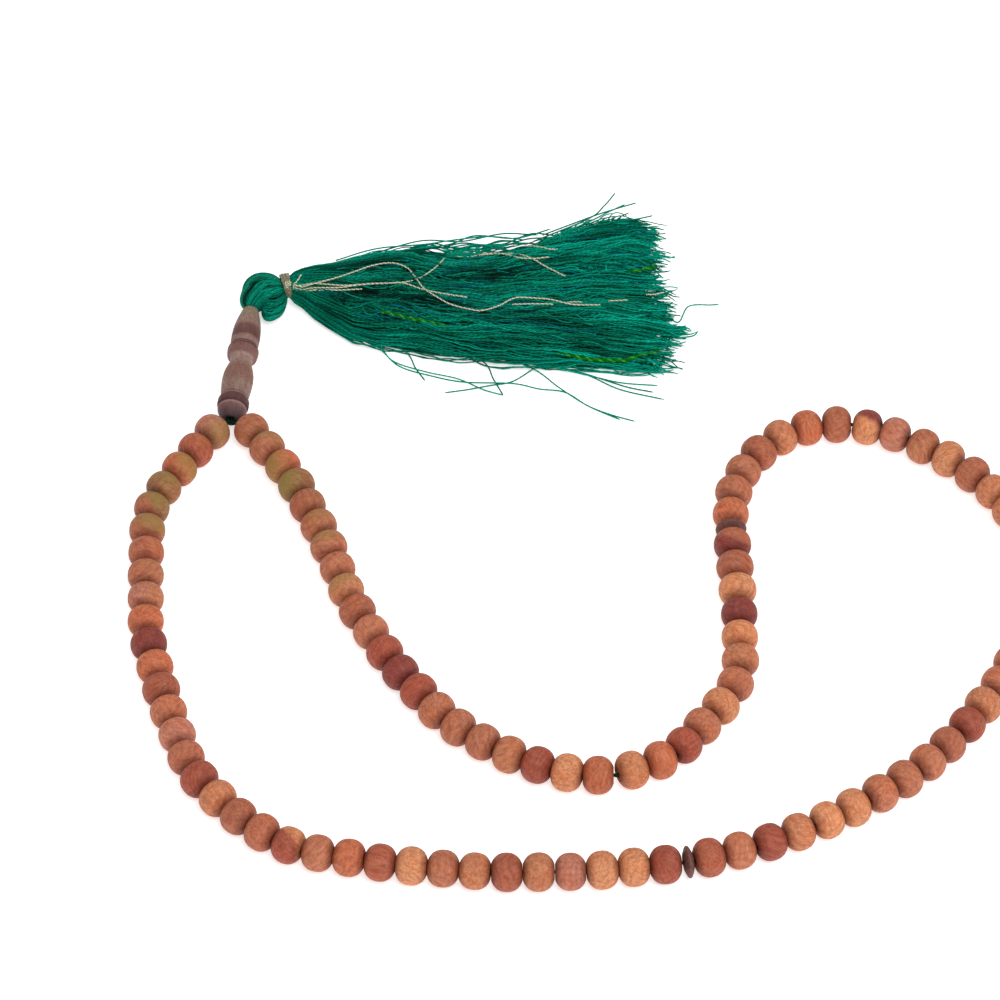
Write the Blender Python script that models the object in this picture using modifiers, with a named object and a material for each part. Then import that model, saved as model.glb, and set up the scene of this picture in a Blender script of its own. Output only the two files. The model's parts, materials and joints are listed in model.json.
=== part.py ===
"""Misbaha prayer beads lying on a table: 99 wooden beads in three runs of 33 with two thin separators,
a turned imame where the two ends of the cord meet, and a tassel tied above it.

Units are millimetres until a value is multiplied by MM. +Z is up, the table is z = 0, and the origin is
on the table under the middle of the whole object. Beads are numbered along the cord from the imame.
"""

import math

import bmesh
import bpy
from mathutils import Matrix, Vector

MM = 0.001
WELD_DISTANCE = 0.00001
SHARP_EDGE_ANGLE = math.radians(30)

# The layout's point that lies over the origin
LAYOUT_CENTRE = Vector((-0.36, -0.45, 0.0))

# Beads: eight-sided, so that each one rests on a flat facet
BEAD_SIDES = 8
BEAD_DIAMETER = 8.0
BEAD_LENGTH = 5.98
BEAD_PITCH = 6.36
BEAD_WAIST_LENGTH = 1.8
BEAD_END_RADIUS = 1.1
BEAD_BORE_RADIUS = 0.75
BEAD_FACET_TURN = math.pi / BEAD_SIDES
BEAD_AXIS_HEIGHT = BEAD_DIAMETER / 2
BEAD_CORNER_RADIUS = BEAD_AXIS_HEIGHT / math.cos(BEAD_FACET_TURN)

# Separators: thin discs between the runs of 33 beads
SEPARATOR_RADIUS = 3.3
SEPARATOR_RIM_LENGTH = 0.9
SEPARATOR_LENGTH = 1.85
SEPARATOR_PITCH = 2.35
SEPARATOR_SIDES = 16

# The cord through the beads, and the doubled cord through the imame
CORD_RADIUS = 0.4
CORD_ENTRY = 6.0
CORD_BEND_BELOW_MOUTH = 0.8
CORD_BEVEL_STEPS = 2
CORD_SHORTEST_SPAN = 0.25
CORD_STRAND_OFFSET = 0.55
DOUBLED_CORD_RADIUS = 0.8
DOUBLED_CORD_START = 7.0
KNOT_RADIUS = 1.6
KNOT_MESH = (12, 8)

# How many beads each bead solid holds. Threes lie on the straight stretches, single beads on the bends.
RUN_1 = (2, 2, 1, 2, 3, 3, 3, 1, 1, 1, 1, 1, 3, 3, 3, 3)
RUN_2_FIRST = (2, 2, 2, 2, 2, 2, 2)
RUN_2_LOOSE = (3, 2)
RUN_2_LAST = (1, 2, 2, 1, 1, 1, 1, 1, 1, 1, 1, 1)
RUN_3 = (3, 3, 1, 1, 2, 2, 1, 1, 2, 2, 3, 3, 3, 3, 3)

# Spare cord shows as a gap after these beads. The loop also bends upwards at the fold gaps.
SPARE_AFTER = {
    35: 0.2,
    39: 0.3,
    43: 0.5,
    45: 0.4,
    53: 0.2,
    55: 0.4,
    57: 0.2,
    59: 0.3,
    60: 0.3,
    62: 0.3,
    63: 0.2,
    69: 0.3,
    72: 0.3,
    73: 0.3,
    74: 0.3,
    78: 0.9,
}
FOLD_GAPS = (33, 37, 41, 57, 61, 76)
FOLD_GAP_EXTRA = 0.25
FIRST_BEAD_AT = 0.6
LAST_BEAD_AT = 0.8

# The cord's route on the table, from the imame's mouth round the loop and back to it
LOOP_ROUTE = (
    (-78.5, 31.0),
    (-81.2, 27.3),
    (-87.0, 17.0),
    (-92.8, 5.5),
    (-93.0, -9.0),
    (-92.6, -22.0),
    (-91.4, -33.5),
    (-87.6, -47.0),
    (-83.9, -60.8),
    (-76.5, -72.0),
    (-66.7, -81.8),
    (-54.8, -87.8),
    (-42.0, -89.8),
    (-23.0, -92.0),
    (-4.0, -92.0),
    (15.0, -90.3),
    (35.5, -84.6),
    (53.0, -75.5),
    (69.0, -63.6),
    (80.9, -48.5),
    (88.0, -36.5),
    (91.8, -23.5),
    (92.6, -10.0),
    (90.5, 4.0),
    (82.8, 15.5),
    (72.5, 23.7),
    (61.0, 29.3),
    (48.0, 29.5),
    (37.6, 22.6),
    (31.4, 11.3),
    (30.4, 0.5),
    (31.0, -14.0),
    (31.7, -29.5),
    (30.5, -42.5),
    (23.8, -53.0),
    (14.3, -64.2),
    (1.0, -67.4),
    (-12.0, -64.3),
    (-28.0, -54.3),
    (-40.0, -38.8),
    (-49.0, -22.3),
    (-55.0, -4.0),
    (-62.0, 12.9),
    (-71.6, 28.1),
    (-74.4, 31.4),
)
ROUTE_STEPS_PER_POINT = 24

# Imame: a turned finial, from its mouth over the loop to the end under the tassel
IMAME_MOUTH = Vector((-76.8, 31.7, 3.5))
IMAME_TOP = Vector((-73.46, 64.73, 3.5))
IMAME_SIDES = 16
IMAME_BORE_RADIUS = 1.2
IMAME_PROFILE = (
    (33.2, 1.7),
    (31.5, 2.3),
    (29.0, 2.8),
    (26.5, 3.05),
    (24.0, 3.1),
    (21.2, 2.95),
    (20.8, 3.4),
    (18.4, 3.2),
    (17.9, 2.7),
    (17.1, 2.3),
    (15.0, 2.7),
    (12.5, 3.3),
    (9.0, 3.2),
    (6.4, 2.95),
    (5.7, 3.4),
    (3.8, 3.4),
    (3.0, 3.2),
    (1.6, 2.7),
    (0.0, 1.7),
)

# Tassel: a ball of folded threads, a metal thread tied round its neck, and the skirt beyond
HEAD_CENTRE = Vector((-71.0, 71.0, 4.6))
HEAD_RADIUS = 4.5
HEAD_MESH = (20, 12)
HEAD_BORE_RADIUS = 1.15
HEAD_CHAMBER_RADIUS = 2.0
LOBE_CENTRE = Vector((-68.5, 66.1, 2.6))
LOBE_RADIUS = 2.5
LOBE_MESH = (12, 8)
CUTTER_SIDES = 12
NECK_DIRECTION = Vector((math.cos(math.radians(6)), math.sin(math.radians(6)), 0.0))
NECK_RADIUS = 1.75
NECK_END = 6.2
BINDING_INNER_RADIUS = 2.1
BINDING_OUTER_RADIUS = 2.7
BINDING_START = 4.45
BINDING_LENGTH = 1.5
BINDING_EASE = 0.35
BINDING_SIDES = 20
BINDING_KNOT_RADIUS = 0.95
SKIRT_START = 6.6
SKIRT_PIVOT = 6.3

# The skirt's sections: distance along X from the binding, lowest and highest y, base height, top height
SKIRT_SECTIONS = (
    (0.0, 71.2, 72.2, 4.1, 5.1),
    (2.6, 68.6, 74.8, 1.7, 7.6),
    (8.5, 63.6, 79.6, 0.0, 8.6),
    (18.0, 57.4, 84.4, 0.0, 8.6),
    (36.0, 52.9, 88.8, 0.0, 8.0),
    (57.0, 49.6, 92.6, 0.0, 7.0),
    (75.0, 47.6, 95.2, 0.0, 5.4),
    (84.5, 49.0, 91.5, 0.0, 3.6),
)
# A section's outline as shares of its half width and of its height
SKIRT_OUTLINE = (
    (-1.0, 0.30),
    (-0.86, 0.0),
    (0.86, 0.0),
    (1.0, 0.30),
    (0.94, 0.66),
    (0.60, 1.0),
    (-0.60, 1.0),
    (-0.94, 0.66),
)

WOOD_TONES = (
    (0.50, 0.22, 0.12),
    (0.42, 0.17, 0.10),
    (0.56, 0.27, 0.15),
    (0.33, 0.13, 0.09),
)


def clear_scene():
    """Removes every object, and the meshes and curves that they leave."""
    for obj in list(bpy.data.objects):
        bpy.data.objects.remove(obj, do_unlink=True)
    for block in (bpy.data.meshes, bpy.data.curves):
        for item in list(block):
            block.remove(item)


def make_collection(name):
    """A new collection in the scene."""
    collection = bpy.data.collections.new(name)
    bpy.context.scene.collection.children.link(collection)
    return collection


def make_material(name, colour, roughness, metallic=0.0):
    """A Principled material of one colour."""
    material = bpy.data.materials.new(name)
    material.use_nodes = True
    shader = material.node_tree.nodes["Principled BSDF"]
    shader.inputs["Base Color"].default_value = (*colour, 1.0)
    shader.inputs["Roughness"].default_value = roughness
    shader.inputs["Metallic"].default_value = metallic
    material.diffuse_color = (*colour, 1.0)
    return material


def add_object(name, data, collection, material=None, matrix=None):
    """An object that holds the data, in the collection, with the material and the place given."""
    obj = bpy.data.objects.new(name, data)
    collection.objects.link(obj)
    if material:
        data.materials.append(material)
    if matrix:
        obj.matrix_world = matrix
    return obj


def in_layout(point):
    """A layout point in metres from the origin."""
    return (Vector(point) - LAYOUT_CENTRE) * MM


def along(origin, direction):
    """A frame at a layout point, with +Z along the direction and +X level."""
    z_axis = Vector(direction).normalized()
    x_axis = Vector((0.0, 0.0, 1.0)).cross(z_axis).normalized()
    y_axis = z_axis.cross(x_axis)
    turn = Matrix((x_axis, y_axis, z_axis)).transposed().to_4x4()
    return Matrix.Translation(in_layout(origin)) @ turn


def turned(name, profile, sides, collection, material, matrix):
    """A solid turned about its own Z from a closed profile of (height, radius) points, top to bottom outside.

    Its first corner stands half a side round, so that a flat side faces down.
    """
    start = math.pi / sides
    mesh = bpy.data.meshes.new(name)
    points = [
        (radius * math.cos(start) * MM, radius * math.sin(start) * MM, height * MM)
        for height, radius in profile
    ]
    count = len(points)
    mesh.from_pydata(points, [(i, (i + 1) % count) for i in range(count)], [])
    obj = add_object(name, mesh, collection, material, matrix)
    screw = obj.modifiers.new("Turn", "SCREW")
    screw.steps = sides
    screw.render_steps = sides
    screw.use_merge_vertices = True
    screw.merge_threshold = WELD_DISTANCE
    return obj


def smooth_route(points, steps):
    """A Catmull-Rom curve through the points, as closely spaced points."""
    first = points[0] * 2 - points[1]
    last = points[-1] * 2 - points[-2]
    knots = [first, *points, last]
    curve = []
    for a, b, c, d in zip(knots, knots[1:], knots[2:], knots[3:]):
        for step in range(steps):
            t = step / steps
            curve.append(
                0.5
                * (
                    b * 2
                    + (c - a) * t
                    + (a * 2 - b * 5 + c * 4 - d) * t**2
                    + (b * 3 - a - c * 3 + d) * t**3
                )
            )
    curve.append(points[-1])
    return curve


class Route:
    """The loop's route, read by distance along it."""

    def __init__(self, points):
        raised = [Vector((x, y, BEAD_AXIS_HEIGHT)) for x, y in points]
        self.points = smooth_route(raised, ROUTE_STEPS_PER_POINT)
        self.distances = [0.0]
        for here, there in zip(self.points, self.points[1:]):
            self.distances.append(self.distances[-1] + (there - here).length)
        self.length = self.distances[-1]

    def at(self, distance):
        """The point this far along the route."""
        for i in range(1, len(self.distances)):
            if self.distances[i] >= distance or i == len(self.distances) - 1:
                step = self.distances[i] - self.distances[i - 1]
                share = (distance - self.distances[i - 1]) / step
                return self.points[i - 1].lerp(self.points[i], share)


def spare_after(bead):
    """The extra length of cord left bare after a bead."""
    return SPARE_AFTER.get(bead, 0.0) + (FOLD_GAP_EXTRA if bead in FOLD_GAPS else 0.0)


def thread(start, groups, first_bead, step):
    """Places groups of beads one after another along the cord, from start, towards +1 or -1.

    Gives (first bead, last bead, where the group's cell begins, where it ends) for each group, and the
    distance reached.
    """
    cells = []
    at, bead = start, first_bead
    for count in groups:
        last = bead + step * (count - 1)
        end = at + step * count * BEAD_PITCH
        low, high = min(bead, last), max(bead, last)
        cells.append((low, high, min(at, end), max(at, end)))
        at = end + step * spare_after(high if step > 0 else low - 1)
        bead = last + step
    return cells, at


def loose_cells(groups, first_bead, start, end):
    """Places groups of beads between two distances, with the spare cord shared out between them."""
    spare = (end - start - sum(groups) * BEAD_PITCH) / (len(groups) + 1)
    cells = []
    at, bead = start + spare, first_bead
    for count in groups:
        cells.append((bead, bead + count - 1, at, at + count * BEAD_PITCH))
        at += count * BEAD_PITCH + spare
        bead += count
    return cells


def lay_out_cells(route):
    """Every cell along the cord, in order: bead groups as (first, last, start, end), separators likewise."""
    run_1, at = thread(FIRST_BEAD_AT, RUN_1, 1, 1)
    separator_1 = ("separator_1", at, at + SEPARATOR_PITCH)
    run_2_first, loose_start = thread(at + SEPARATOR_PITCH, RUN_2_FIRST, 34, 1)
    run_3, at = thread(route.length - LAST_BEAD_AT, RUN_3[::-1], 99, -1)
    separator_2 = ("separator_2", at - SEPARATOR_PITCH, at)
    run_2_last, loose_end = thread(at - SEPARATOR_PITCH, RUN_2_LAST[::-1], 66, -1)
    first_loose = run_2_first[-1][1] + 1
    run_2_loose = loose_cells(RUN_2_LOOSE, first_loose, loose_start, loose_end)
    beads = run_1 + run_2_first + run_2_loose + run_2_last[::-1] + run_3[::-1]
    return beads, (separator_1, separator_2)


def bead_profile(count):
    """The closed profile of a string of beads that touch end to end, top to bottom outside, then the bore."""
    outline = []
    for i in range(count):
        middle = ((count - 1) / 2 - i) * BEAD_PITCH
        outline += [
            (middle + BEAD_LENGTH / 2, BEAD_END_RADIUS),
            (middle + BEAD_WAIST_LENGTH / 2, BEAD_CORNER_RADIUS),
            (middle - BEAD_WAIST_LENGTH / 2, BEAD_CORNER_RADIUS),
            (middle - BEAD_LENGTH / 2, BEAD_END_RADIUS),
        ]
    bore = [(outline[-1][0], BEAD_BORE_RADIUS), (outline[0][0], BEAD_BORE_RADIUS)]
    return outline + bore


def bead_name(first, last):
    """beads_01_02 for a group, bead_33 for a single bead."""
    return f"bead_{first:02d}" if first == last else f"beads_{first:02d}_{last:02d}"


def make_beads(route, cells, collection):
    """One solid for each group of beads. Its cell's two ends lie on the route, and it is centred between."""
    materials = [
        make_material(f"bead_wood_{i + 1}", tone, 0.75)
        for i, tone in enumerate(WOOD_TONES)
    ]
    for n, (first, last, start, end) in enumerate(cells):
        low, high = route.at(start), route.at(end)
        turned(
            bead_name(first, last),
            bead_profile(last - first + 1),
            BEAD_SIDES,
            collection,
            materials[n % len(materials)],
            along((low + high) / 2, low - high),
        )


def make_separators(route, cells, collection):
    """The two lens-shaped discs."""
    wood = make_material("separator_wood", (0.10, 0.06, 0.05), 0.6)
    profile = (
        (SEPARATOR_LENGTH / 2, BEAD_END_RADIUS),
        (SEPARATOR_RIM_LENGTH / 2, SEPARATOR_RADIUS),
        (-SEPARATOR_RIM_LENGTH / 2, SEPARATOR_RADIUS),
        (-SEPARATOR_LENGTH / 2, BEAD_END_RADIUS),
        (-SEPARATOR_LENGTH / 2, BEAD_BORE_RADIUS),
        (SEPARATOR_LENGTH / 2, BEAD_BORE_RADIUS),
    )
    for name, start, end in cells:
        low, high = route.at(start), route.at(end)
        matrix = along((low + high) / 2, low - high)
        turned(name, profile, SEPARATOR_SIDES, collection, wood, matrix)


def make_tube(name, points, radius, collection, material):
    """A plain round cord through layout points."""
    curve = bpy.data.curves.new(name, "CURVE")
    curve.dimensions = "3D"
    curve.bevel_depth = radius * MM
    curve.bevel_resolution = CORD_BEVEL_STEPS
    curve.use_fill_caps = True
    spline = curve.splines.new("POLY")
    spline.points.add(len(points) - 1)
    for target, point in zip(spline.points, points):
        target.co = (*in_layout(point), 1.0)
    return add_object(name, curve, collection, material)


def make_loop_cord(route, cells, separators, collection):
    """The cord through all the beads. It bends only between solids, so it lies on each one's axis."""
    green = make_material("cord_green", (0.01, 0.20, 0.12), 0.8)
    ends = sorted(
        [(start, end) for _, _, start, end in cells]
        + [(start, end) for _, start, end in separators]
    )
    axis = (IMAME_TOP - IMAME_MOUTH).normalized()
    side = axis.cross(Vector((0.0, 0.0, 1.0))) * CORD_STRAND_OFFSET
    inside = IMAME_MOUTH + axis * CORD_ENTRY
    outside = IMAME_MOUTH - axis * CORD_BEND_BELOW_MOUTH
    points = [inside - side, outside - side]
    for i, (start, end) in enumerate(ends):
        points.append(route.at(start))
        if i == len(ends) - 1 or ends[i + 1][0] - end > CORD_SHORTEST_SPAN:
            points.append(route.at(end))
    points += [outside + side, inside + side]
    return make_tube("loop_cord", points, CORD_RADIUS, collection, green)


def make_imame(collection):
    """The turned finial, bored from end to end for the cord."""
    wood = make_material("imame_wood", (0.24, 0.14, 0.11), 0.7)
    axis = IMAME_TOP - IMAME_MOUTH
    profile = [*IMAME_PROFILE, (0.0, IMAME_BORE_RADIUS)]
    profile.append((IMAME_PROFILE[0][0], IMAME_BORE_RADIUS))
    matrix = along(IMAME_MOUTH, axis)
    turned("imame", profile, IMAME_SIDES, collection, wood, matrix)


def make_imame_cord(collection, helpers):
    """The two ends of the cord twisted together up the imame, and their knot in the tassel's head."""
    green = make_material("doubled_cord_green", (0.01, 0.18, 0.11), 0.8)
    axis = (IMAME_TOP - IMAME_MOUTH).normalized()
    start = IMAME_MOUTH + axis * DOUBLED_CORD_START
    route = [start, IMAME_TOP, HEAD_CENTRE]
    tube = make_tube("imame_cord_tube", route, DOUBLED_CORD_RADIUS, collection, green)
    cord = as_mesh(tube, "imame_cord", collection)
    move_origin(cord, IMAME_MOUTH - axis * CORD_BEND_BELOW_MOUTH)
    knot = ball_mesh("end_knot", HEAD_CENTRE, KNOT_RADIUS, *KNOT_MESH)
    boolean(cord, add_object("end_knot", knot, helpers), "UNION")


def ball_mesh(name, centre, radius, segments, rings):
    """A round ball at a layout point, in world coordinates."""
    mesh = bpy.data.meshes.new(name)
    shape = bmesh.new()
    bmesh.ops.create_uvsphere(
        shape, u_segments=segments, v_segments=rings, radius=radius * MM
    )
    bmesh.ops.translate(shape, verts=shape.verts, vec=in_layout(centre))
    shape.to_mesh(mesh)
    shape.free()
    return mesh


def as_mesh(curve_object, name, collection):
    """The curve as a mesh object with its caps welded. The curve is removed."""
    bpy.context.view_layer.update()
    graph = bpy.context.evaluated_depsgraph_get()
    mesh = bpy.data.meshes.new_from_object(curve_object.evaluated_get(graph))
    mesh.name = name
    shape = bmesh.new()
    shape.from_mesh(mesh)
    bmesh.ops.remove_doubles(shape, verts=shape.verts, dist=WELD_DISTANCE)
    shape.to_mesh(mesh)
    shape.free()
    matrix = curve_object.matrix_world.copy()
    bpy.data.objects.remove(curve_object, do_unlink=True)
    return add_object(name, mesh, collection, matrix=matrix)


def move_origin(obj, point):
    """Puts a mesh object's origin, which its joint turns it about, at a layout point."""
    origin = in_layout(point)
    obj.data.transform(Matrix.Translation(-origin))
    obj.matrix_world = Matrix.Translation(origin)


def as_helper(obj):
    """Marks a cutter or a joined shape, which isn't a piece of its own."""
    obj.hide_render = True
    obj.display_type = "WIRE"
    return obj


def boolean(target, helper, operation):
    """A Boolean modifier on the target."""
    modifier = target.modifiers.new(operation.title(), "BOOLEAN")
    modifier.operation = operation
    modifier.object = as_helper(helper)
    modifier.solver = "EXACT"


def rod(name, start, direction, length, radius, collection, material=None):
    """A plain round rod from a layout point."""
    shape = bmesh.new()
    bmesh.ops.create_cone(
        shape,
        cap_ends=True,
        segments=CUTTER_SIDES,
        radius1=radius * MM,
        radius2=radius * MM,
        depth=length * MM,
        matrix=Matrix.Translation((0.0, 0.0, length * MM / 2)),
    )
    mesh = bpy.data.meshes.new(name)
    shape.to_mesh(mesh)
    shape.free()
    return add_object(name, mesh, collection, material, along(start, direction))


def make_tassel_head(collection, helpers):
    """The ball of folded threads with its second lobe and its neck, hollow round the knot."""
    green = make_material("tassel_head_green", (0.0, 0.26, 0.17), 0.7)
    ball = ball_mesh("tassel_head", HEAD_CENTRE, HEAD_RADIUS, *HEAD_MESH)
    head = add_object("tassel_head", ball, collection, green)
    move_origin(head, HEAD_CENTRE)
    lobe = ball_mesh("head_lobe", LOBE_CENTRE, LOBE_RADIUS, *LOBE_MESH)
    neck = rod("head_neck", HEAD_CENTRE, NECK_DIRECTION, NECK_END, NECK_RADIUS, helpers)
    chamber = ball_mesh("head_chamber", HEAD_CENTRE, HEAD_CHAMBER_RADIUS, *KNOT_MESH)
    way_in = IMAME_TOP - HEAD_CENTRE
    length = HEAD_RADIUS + HEAD_BORE_RADIUS
    bore = rod("head_bore", HEAD_CENTRE, way_in, length, HEAD_BORE_RADIUS, helpers)
    boolean(head, add_object("head_lobe", lobe, helpers), "UNION")
    boolean(head, neck, "UNION")
    boolean(head, add_object("head_chamber", chamber, helpers), "DIFFERENCE")
    boolean(head, bore, "DIFFERENCE")


def make_tassel_binding(collection, helpers):
    """The metal thread wound round the neck, with its knot on the near upper side."""
    gold = make_material("binding_gold", (0.42, 0.30, 0.16), 0.4, 0.6)
    half = BINDING_LENGTH / 2
    profile = (
        (half, BINDING_OUTER_RADIUS - BINDING_EASE),
        (half - BINDING_EASE, BINDING_OUTER_RADIUS),
        (BINDING_EASE - half, BINDING_OUTER_RADIUS),
        (-half, BINDING_OUTER_RADIUS - BINDING_EASE),
        (-half, BINDING_INNER_RADIUS),
        (half, BINDING_INNER_RADIUS),
    )
    middle = HEAD_CENTRE + NECK_DIRECTION * (BINDING_START + half)
    matrix = along(middle, NECK_DIRECTION)
    ring = turned("tassel_binding", profile, BINDING_SIDES, collection, gold, matrix)
    outwards = Vector((0.0, -1.0, 1.0)).normalized() * BINDING_OUTER_RADIUS
    knot = ball_mesh("binding_knot", middle + outwards, BINDING_KNOT_RADIUS, *KNOT_MESH)
    boolean(ring, add_object("binding_knot", knot, helpers), "UNION")


def make_tassel_skirt(collection):
    """The loose threads as one flat fan that rests on the table."""
    green = make_material("tassel_skirt_green", (0.0, 0.24, 0.16), 0.8)
    start = HEAD_CENTRE + NECK_DIRECTION * SKIRT_START
    shape = bmesh.new()
    rings = []
    for reach, low_y, high_y, base, top in SKIRT_SECTIONS:
        middle, half = (low_y + high_y) / 2, (high_y - low_y) / 2
        points = [
            in_layout((start.x + reach, middle + half * across, base + (top - base) * up))
            for across, up in SKIRT_OUTLINE
        ]
        rings.append([shape.verts.new(point) for point in points])
    for ring, following in zip(rings, rings[1:]):
        for i, corner in enumerate(ring):
            before = i - 1
            shape.faces.new((ring[before], corner, following[i], following[before]))
    shape.faces.new(rings[0])
    shape.faces.new(rings[-1][::-1])
    bmesh.ops.recalc_face_normals(shape, faces=shape.faces)
    mesh = bpy.data.meshes.new("tassel_skirt")
    shape.to_mesh(mesh)
    shape.free()
    skirt = add_object("tassel_skirt", mesh, collection, green)
    move_origin(skirt, HEAD_CENTRE + NECK_DIRECTION * SKIRT_PIVOT)


def smooth_shading(collection):
    """Shades round pieces smooth and keeps their real edges."""
    for obj in collection.objects:
        if obj.type == "MESH":
            obj.data.shade_smooth()
            obj.data.set_sharp_from_angle(angle=SHARP_EDGE_ANGLE)


def main():
    clear_scene()
    parts = make_collection("misbaha_prayer_beads")
    helpers = make_collection("helpers")
    route = Route(LOOP_ROUTE)
    cells, separators = lay_out_cells(route)
    make_beads(route, cells, parts)
    make_separators(route, separators, parts)
    make_loop_cord(route, cells, separators, parts)
    make_imame(parts)
    make_imame_cord(parts, helpers)
    make_tassel_head(parts, helpers)
    make_tassel_binding(parts, helpers)
    make_tassel_skirt(parts)
    smooth_shading(parts)


main()
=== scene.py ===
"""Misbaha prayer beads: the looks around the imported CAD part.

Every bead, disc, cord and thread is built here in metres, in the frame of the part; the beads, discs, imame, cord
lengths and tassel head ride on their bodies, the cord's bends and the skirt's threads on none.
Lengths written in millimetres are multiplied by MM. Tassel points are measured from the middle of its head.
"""

import json
import math

import bpy
import numpy as np
from mathutils import Matrix, Vector

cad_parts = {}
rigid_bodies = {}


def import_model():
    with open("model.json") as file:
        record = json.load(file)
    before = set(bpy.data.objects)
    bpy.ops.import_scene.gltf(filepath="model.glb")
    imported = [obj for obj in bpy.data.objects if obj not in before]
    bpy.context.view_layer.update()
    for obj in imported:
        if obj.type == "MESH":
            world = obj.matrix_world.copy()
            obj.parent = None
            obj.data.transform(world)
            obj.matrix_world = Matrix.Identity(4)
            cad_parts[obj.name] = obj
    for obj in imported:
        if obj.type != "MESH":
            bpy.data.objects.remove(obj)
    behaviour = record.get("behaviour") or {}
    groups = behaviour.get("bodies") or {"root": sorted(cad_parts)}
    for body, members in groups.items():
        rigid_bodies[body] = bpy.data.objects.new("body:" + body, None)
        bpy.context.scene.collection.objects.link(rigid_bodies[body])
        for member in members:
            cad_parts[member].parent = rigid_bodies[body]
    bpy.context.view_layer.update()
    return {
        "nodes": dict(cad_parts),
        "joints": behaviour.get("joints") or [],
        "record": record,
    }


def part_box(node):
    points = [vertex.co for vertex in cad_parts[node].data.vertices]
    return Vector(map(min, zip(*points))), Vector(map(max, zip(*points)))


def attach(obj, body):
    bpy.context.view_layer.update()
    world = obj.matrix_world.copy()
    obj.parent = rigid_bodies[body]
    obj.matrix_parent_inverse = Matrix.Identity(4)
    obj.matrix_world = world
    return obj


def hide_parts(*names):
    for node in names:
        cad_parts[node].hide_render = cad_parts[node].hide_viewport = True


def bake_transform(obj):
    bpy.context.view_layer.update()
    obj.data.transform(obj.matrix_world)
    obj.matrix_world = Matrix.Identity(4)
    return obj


MM = 0.001
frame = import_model()
joints = {joint["name"]: joint for joint in frame["joints"]}
node_body = {node: body for body, nodes in frame["record"]["behaviour"]["bodies"].items() for node in nodes}
# The bodies that turn or slide on the cord, with their joints
own_joint = {joint["child"]: joint for joint in frame["joints"] if joint["name"].startswith(("turn", "travel"))}

# Camera: where it aims, how far off it stands and how steeply it looks down
CAMERA_TARGET = Vector((-0.01814, 0.00845, 0.004))
CAMERA_DISTANCE = 1.0485
CAMERA_ELEVATION = math.radians(47.8)
CAMERA_LENS = 177.4
FLOOR_HALF = 3.0

BEAD_PITCH = 6.36 * MM
BEAD_RADIUS = 4.0 * MM
TURN = 2 * math.pi

# Linear colours of the wood, by the name that each bead's list entry gives
TONES = {
    "pale": (0.62, 0.265, 0.125),
    "tan": (0.51, 0.198, 0.095),
    "orange": (0.50, 0.150, 0.068),
    "pink": (0.47, 0.180, 0.115),
    "brown": (0.41, 0.135, 0.070),
    "red": (0.345, 0.082, 0.045),
    "maroon": (0.245, 0.050, 0.037),
    "olive": (0.30, 0.138, 0.056),
    "rust": (0.385, 0.108, 0.056),
    "golden": (0.59, 0.235, 0.105),
    "honey": (0.465, 0.165, 0.085),
}
BEAD_TONES = (
    "pink rust orange olive brown brown brown honey tan orange maroon orange rust honey pink "
    "brown red tan brown brown golden honey orange rust pale honey tan rust tan pink "
    "pale pale red rust honey red tan pale pale honey honey honey brown red tan "
    "honey pink orange tan red brown tan tan tan brown pale tan pink pale brown "
    "orange tan brown honey honey orange maroon brown pale maroon golden tan honey pale honey "
    "red orange golden orange pale red tan honey honey honey red maroon red honey brown "
    "tan honey honey honey brown olive orange honey brown "
).split()
# Beads of two tones: the second tone and the side that it covers
SECOND_TONES = {
    5: ("olive", (0.9, 0.3, 0.4)),
    9: ("pink", (-0.8, 0.2, 0.5)),
    21: ("red", (-0.7, -0.6, 0.3)),
    57: ("brown", (-0.2, 0.8, 0.6)),
    59: ("maroon", (0.5, 0.8, 0.5)),
    67: ("brown", (0.3, 0.8, 0.6)),
}
# Green dye that the tassel has left on the beads near it: the side it lies on and how strong it is
DYE_STAINS = {
    1: ((0.7, -0.6, 0.4), 0.7),
    2: ((0.5, 0.7, 0.6), 0.25),
    3: ((0.9, 0.1, 0.5), 0.8),
    4: ((0.2, 0.7, 0.7), 0.7),
    5: ((0.6, 0.5, 0.6), 0.8),
    6: ((0.4, 0.6, 0.7), 1.0),
    7: ((-0.3, 0.6, 0.6), 0.2),
    8: ((0.9, 0.2, 0.4), 0.35),
    91: ((-0.3, 0.7, 0.6), 0.8),
    92: ((0.1, 0.8, 0.5), 0.25),
    93: ((-0.4, 0.7, 0.6), 0.75),
    94: ((0.2, 0.7, 0.7), 0.55),
    95: ((0.9, 0.4, 0.3), 0.4),
    96: ((-0.9, 0.0, 0.5), 0.9),
    97: ((-0.8, -0.5, 0.3), 0.8),
    98: ((0.0, 0.8, 0.6), 0.7),
    99: ((0.1, -0.6, 0.7), 0.35),
}


# ---------------------------------------------------------------- meshes


def new_mesh_object(name, points, faces):
    """A mesh object from points and faces, linked to the scene."""
    mesh = bpy.data.meshes.new(name)
    mesh.from_pydata([tuple(map(float, p)) for p in points], [], [tuple(map(int, f)) for f in faces])
    mesh.update()
    mesh.shade_smooth()
    obj = bpy.data.objects.new(name, mesh)
    bpy.context.scene.collection.objects.link(obj)
    return obj


def set_attribute(obj, name, kind, values):
    """A point attribute that a material reads by name."""
    attribute = obj.data.attributes.new(name, kind, "POINT")
    field = {"FLOAT": "value", "FLOAT_VECTOR": "vector", "FLOAT_COLOR": "color"}[kind]
    attribute.data.foreach_set(field, np.asarray(values, np.float32).ravel())


def dressed(obj, material, body=None, replaced=None):
    """A piece with its material and slot, on the body that it rides on, in place of the CAD node that it replaces."""
    obj.data.materials.append(material)
    if body:
        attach(obj, body)
    if replaced:
        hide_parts(replaced)
    return obj


def unit(vector):
    vector = np.array(vector, float)
    return vector / np.linalg.norm(vector)


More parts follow.
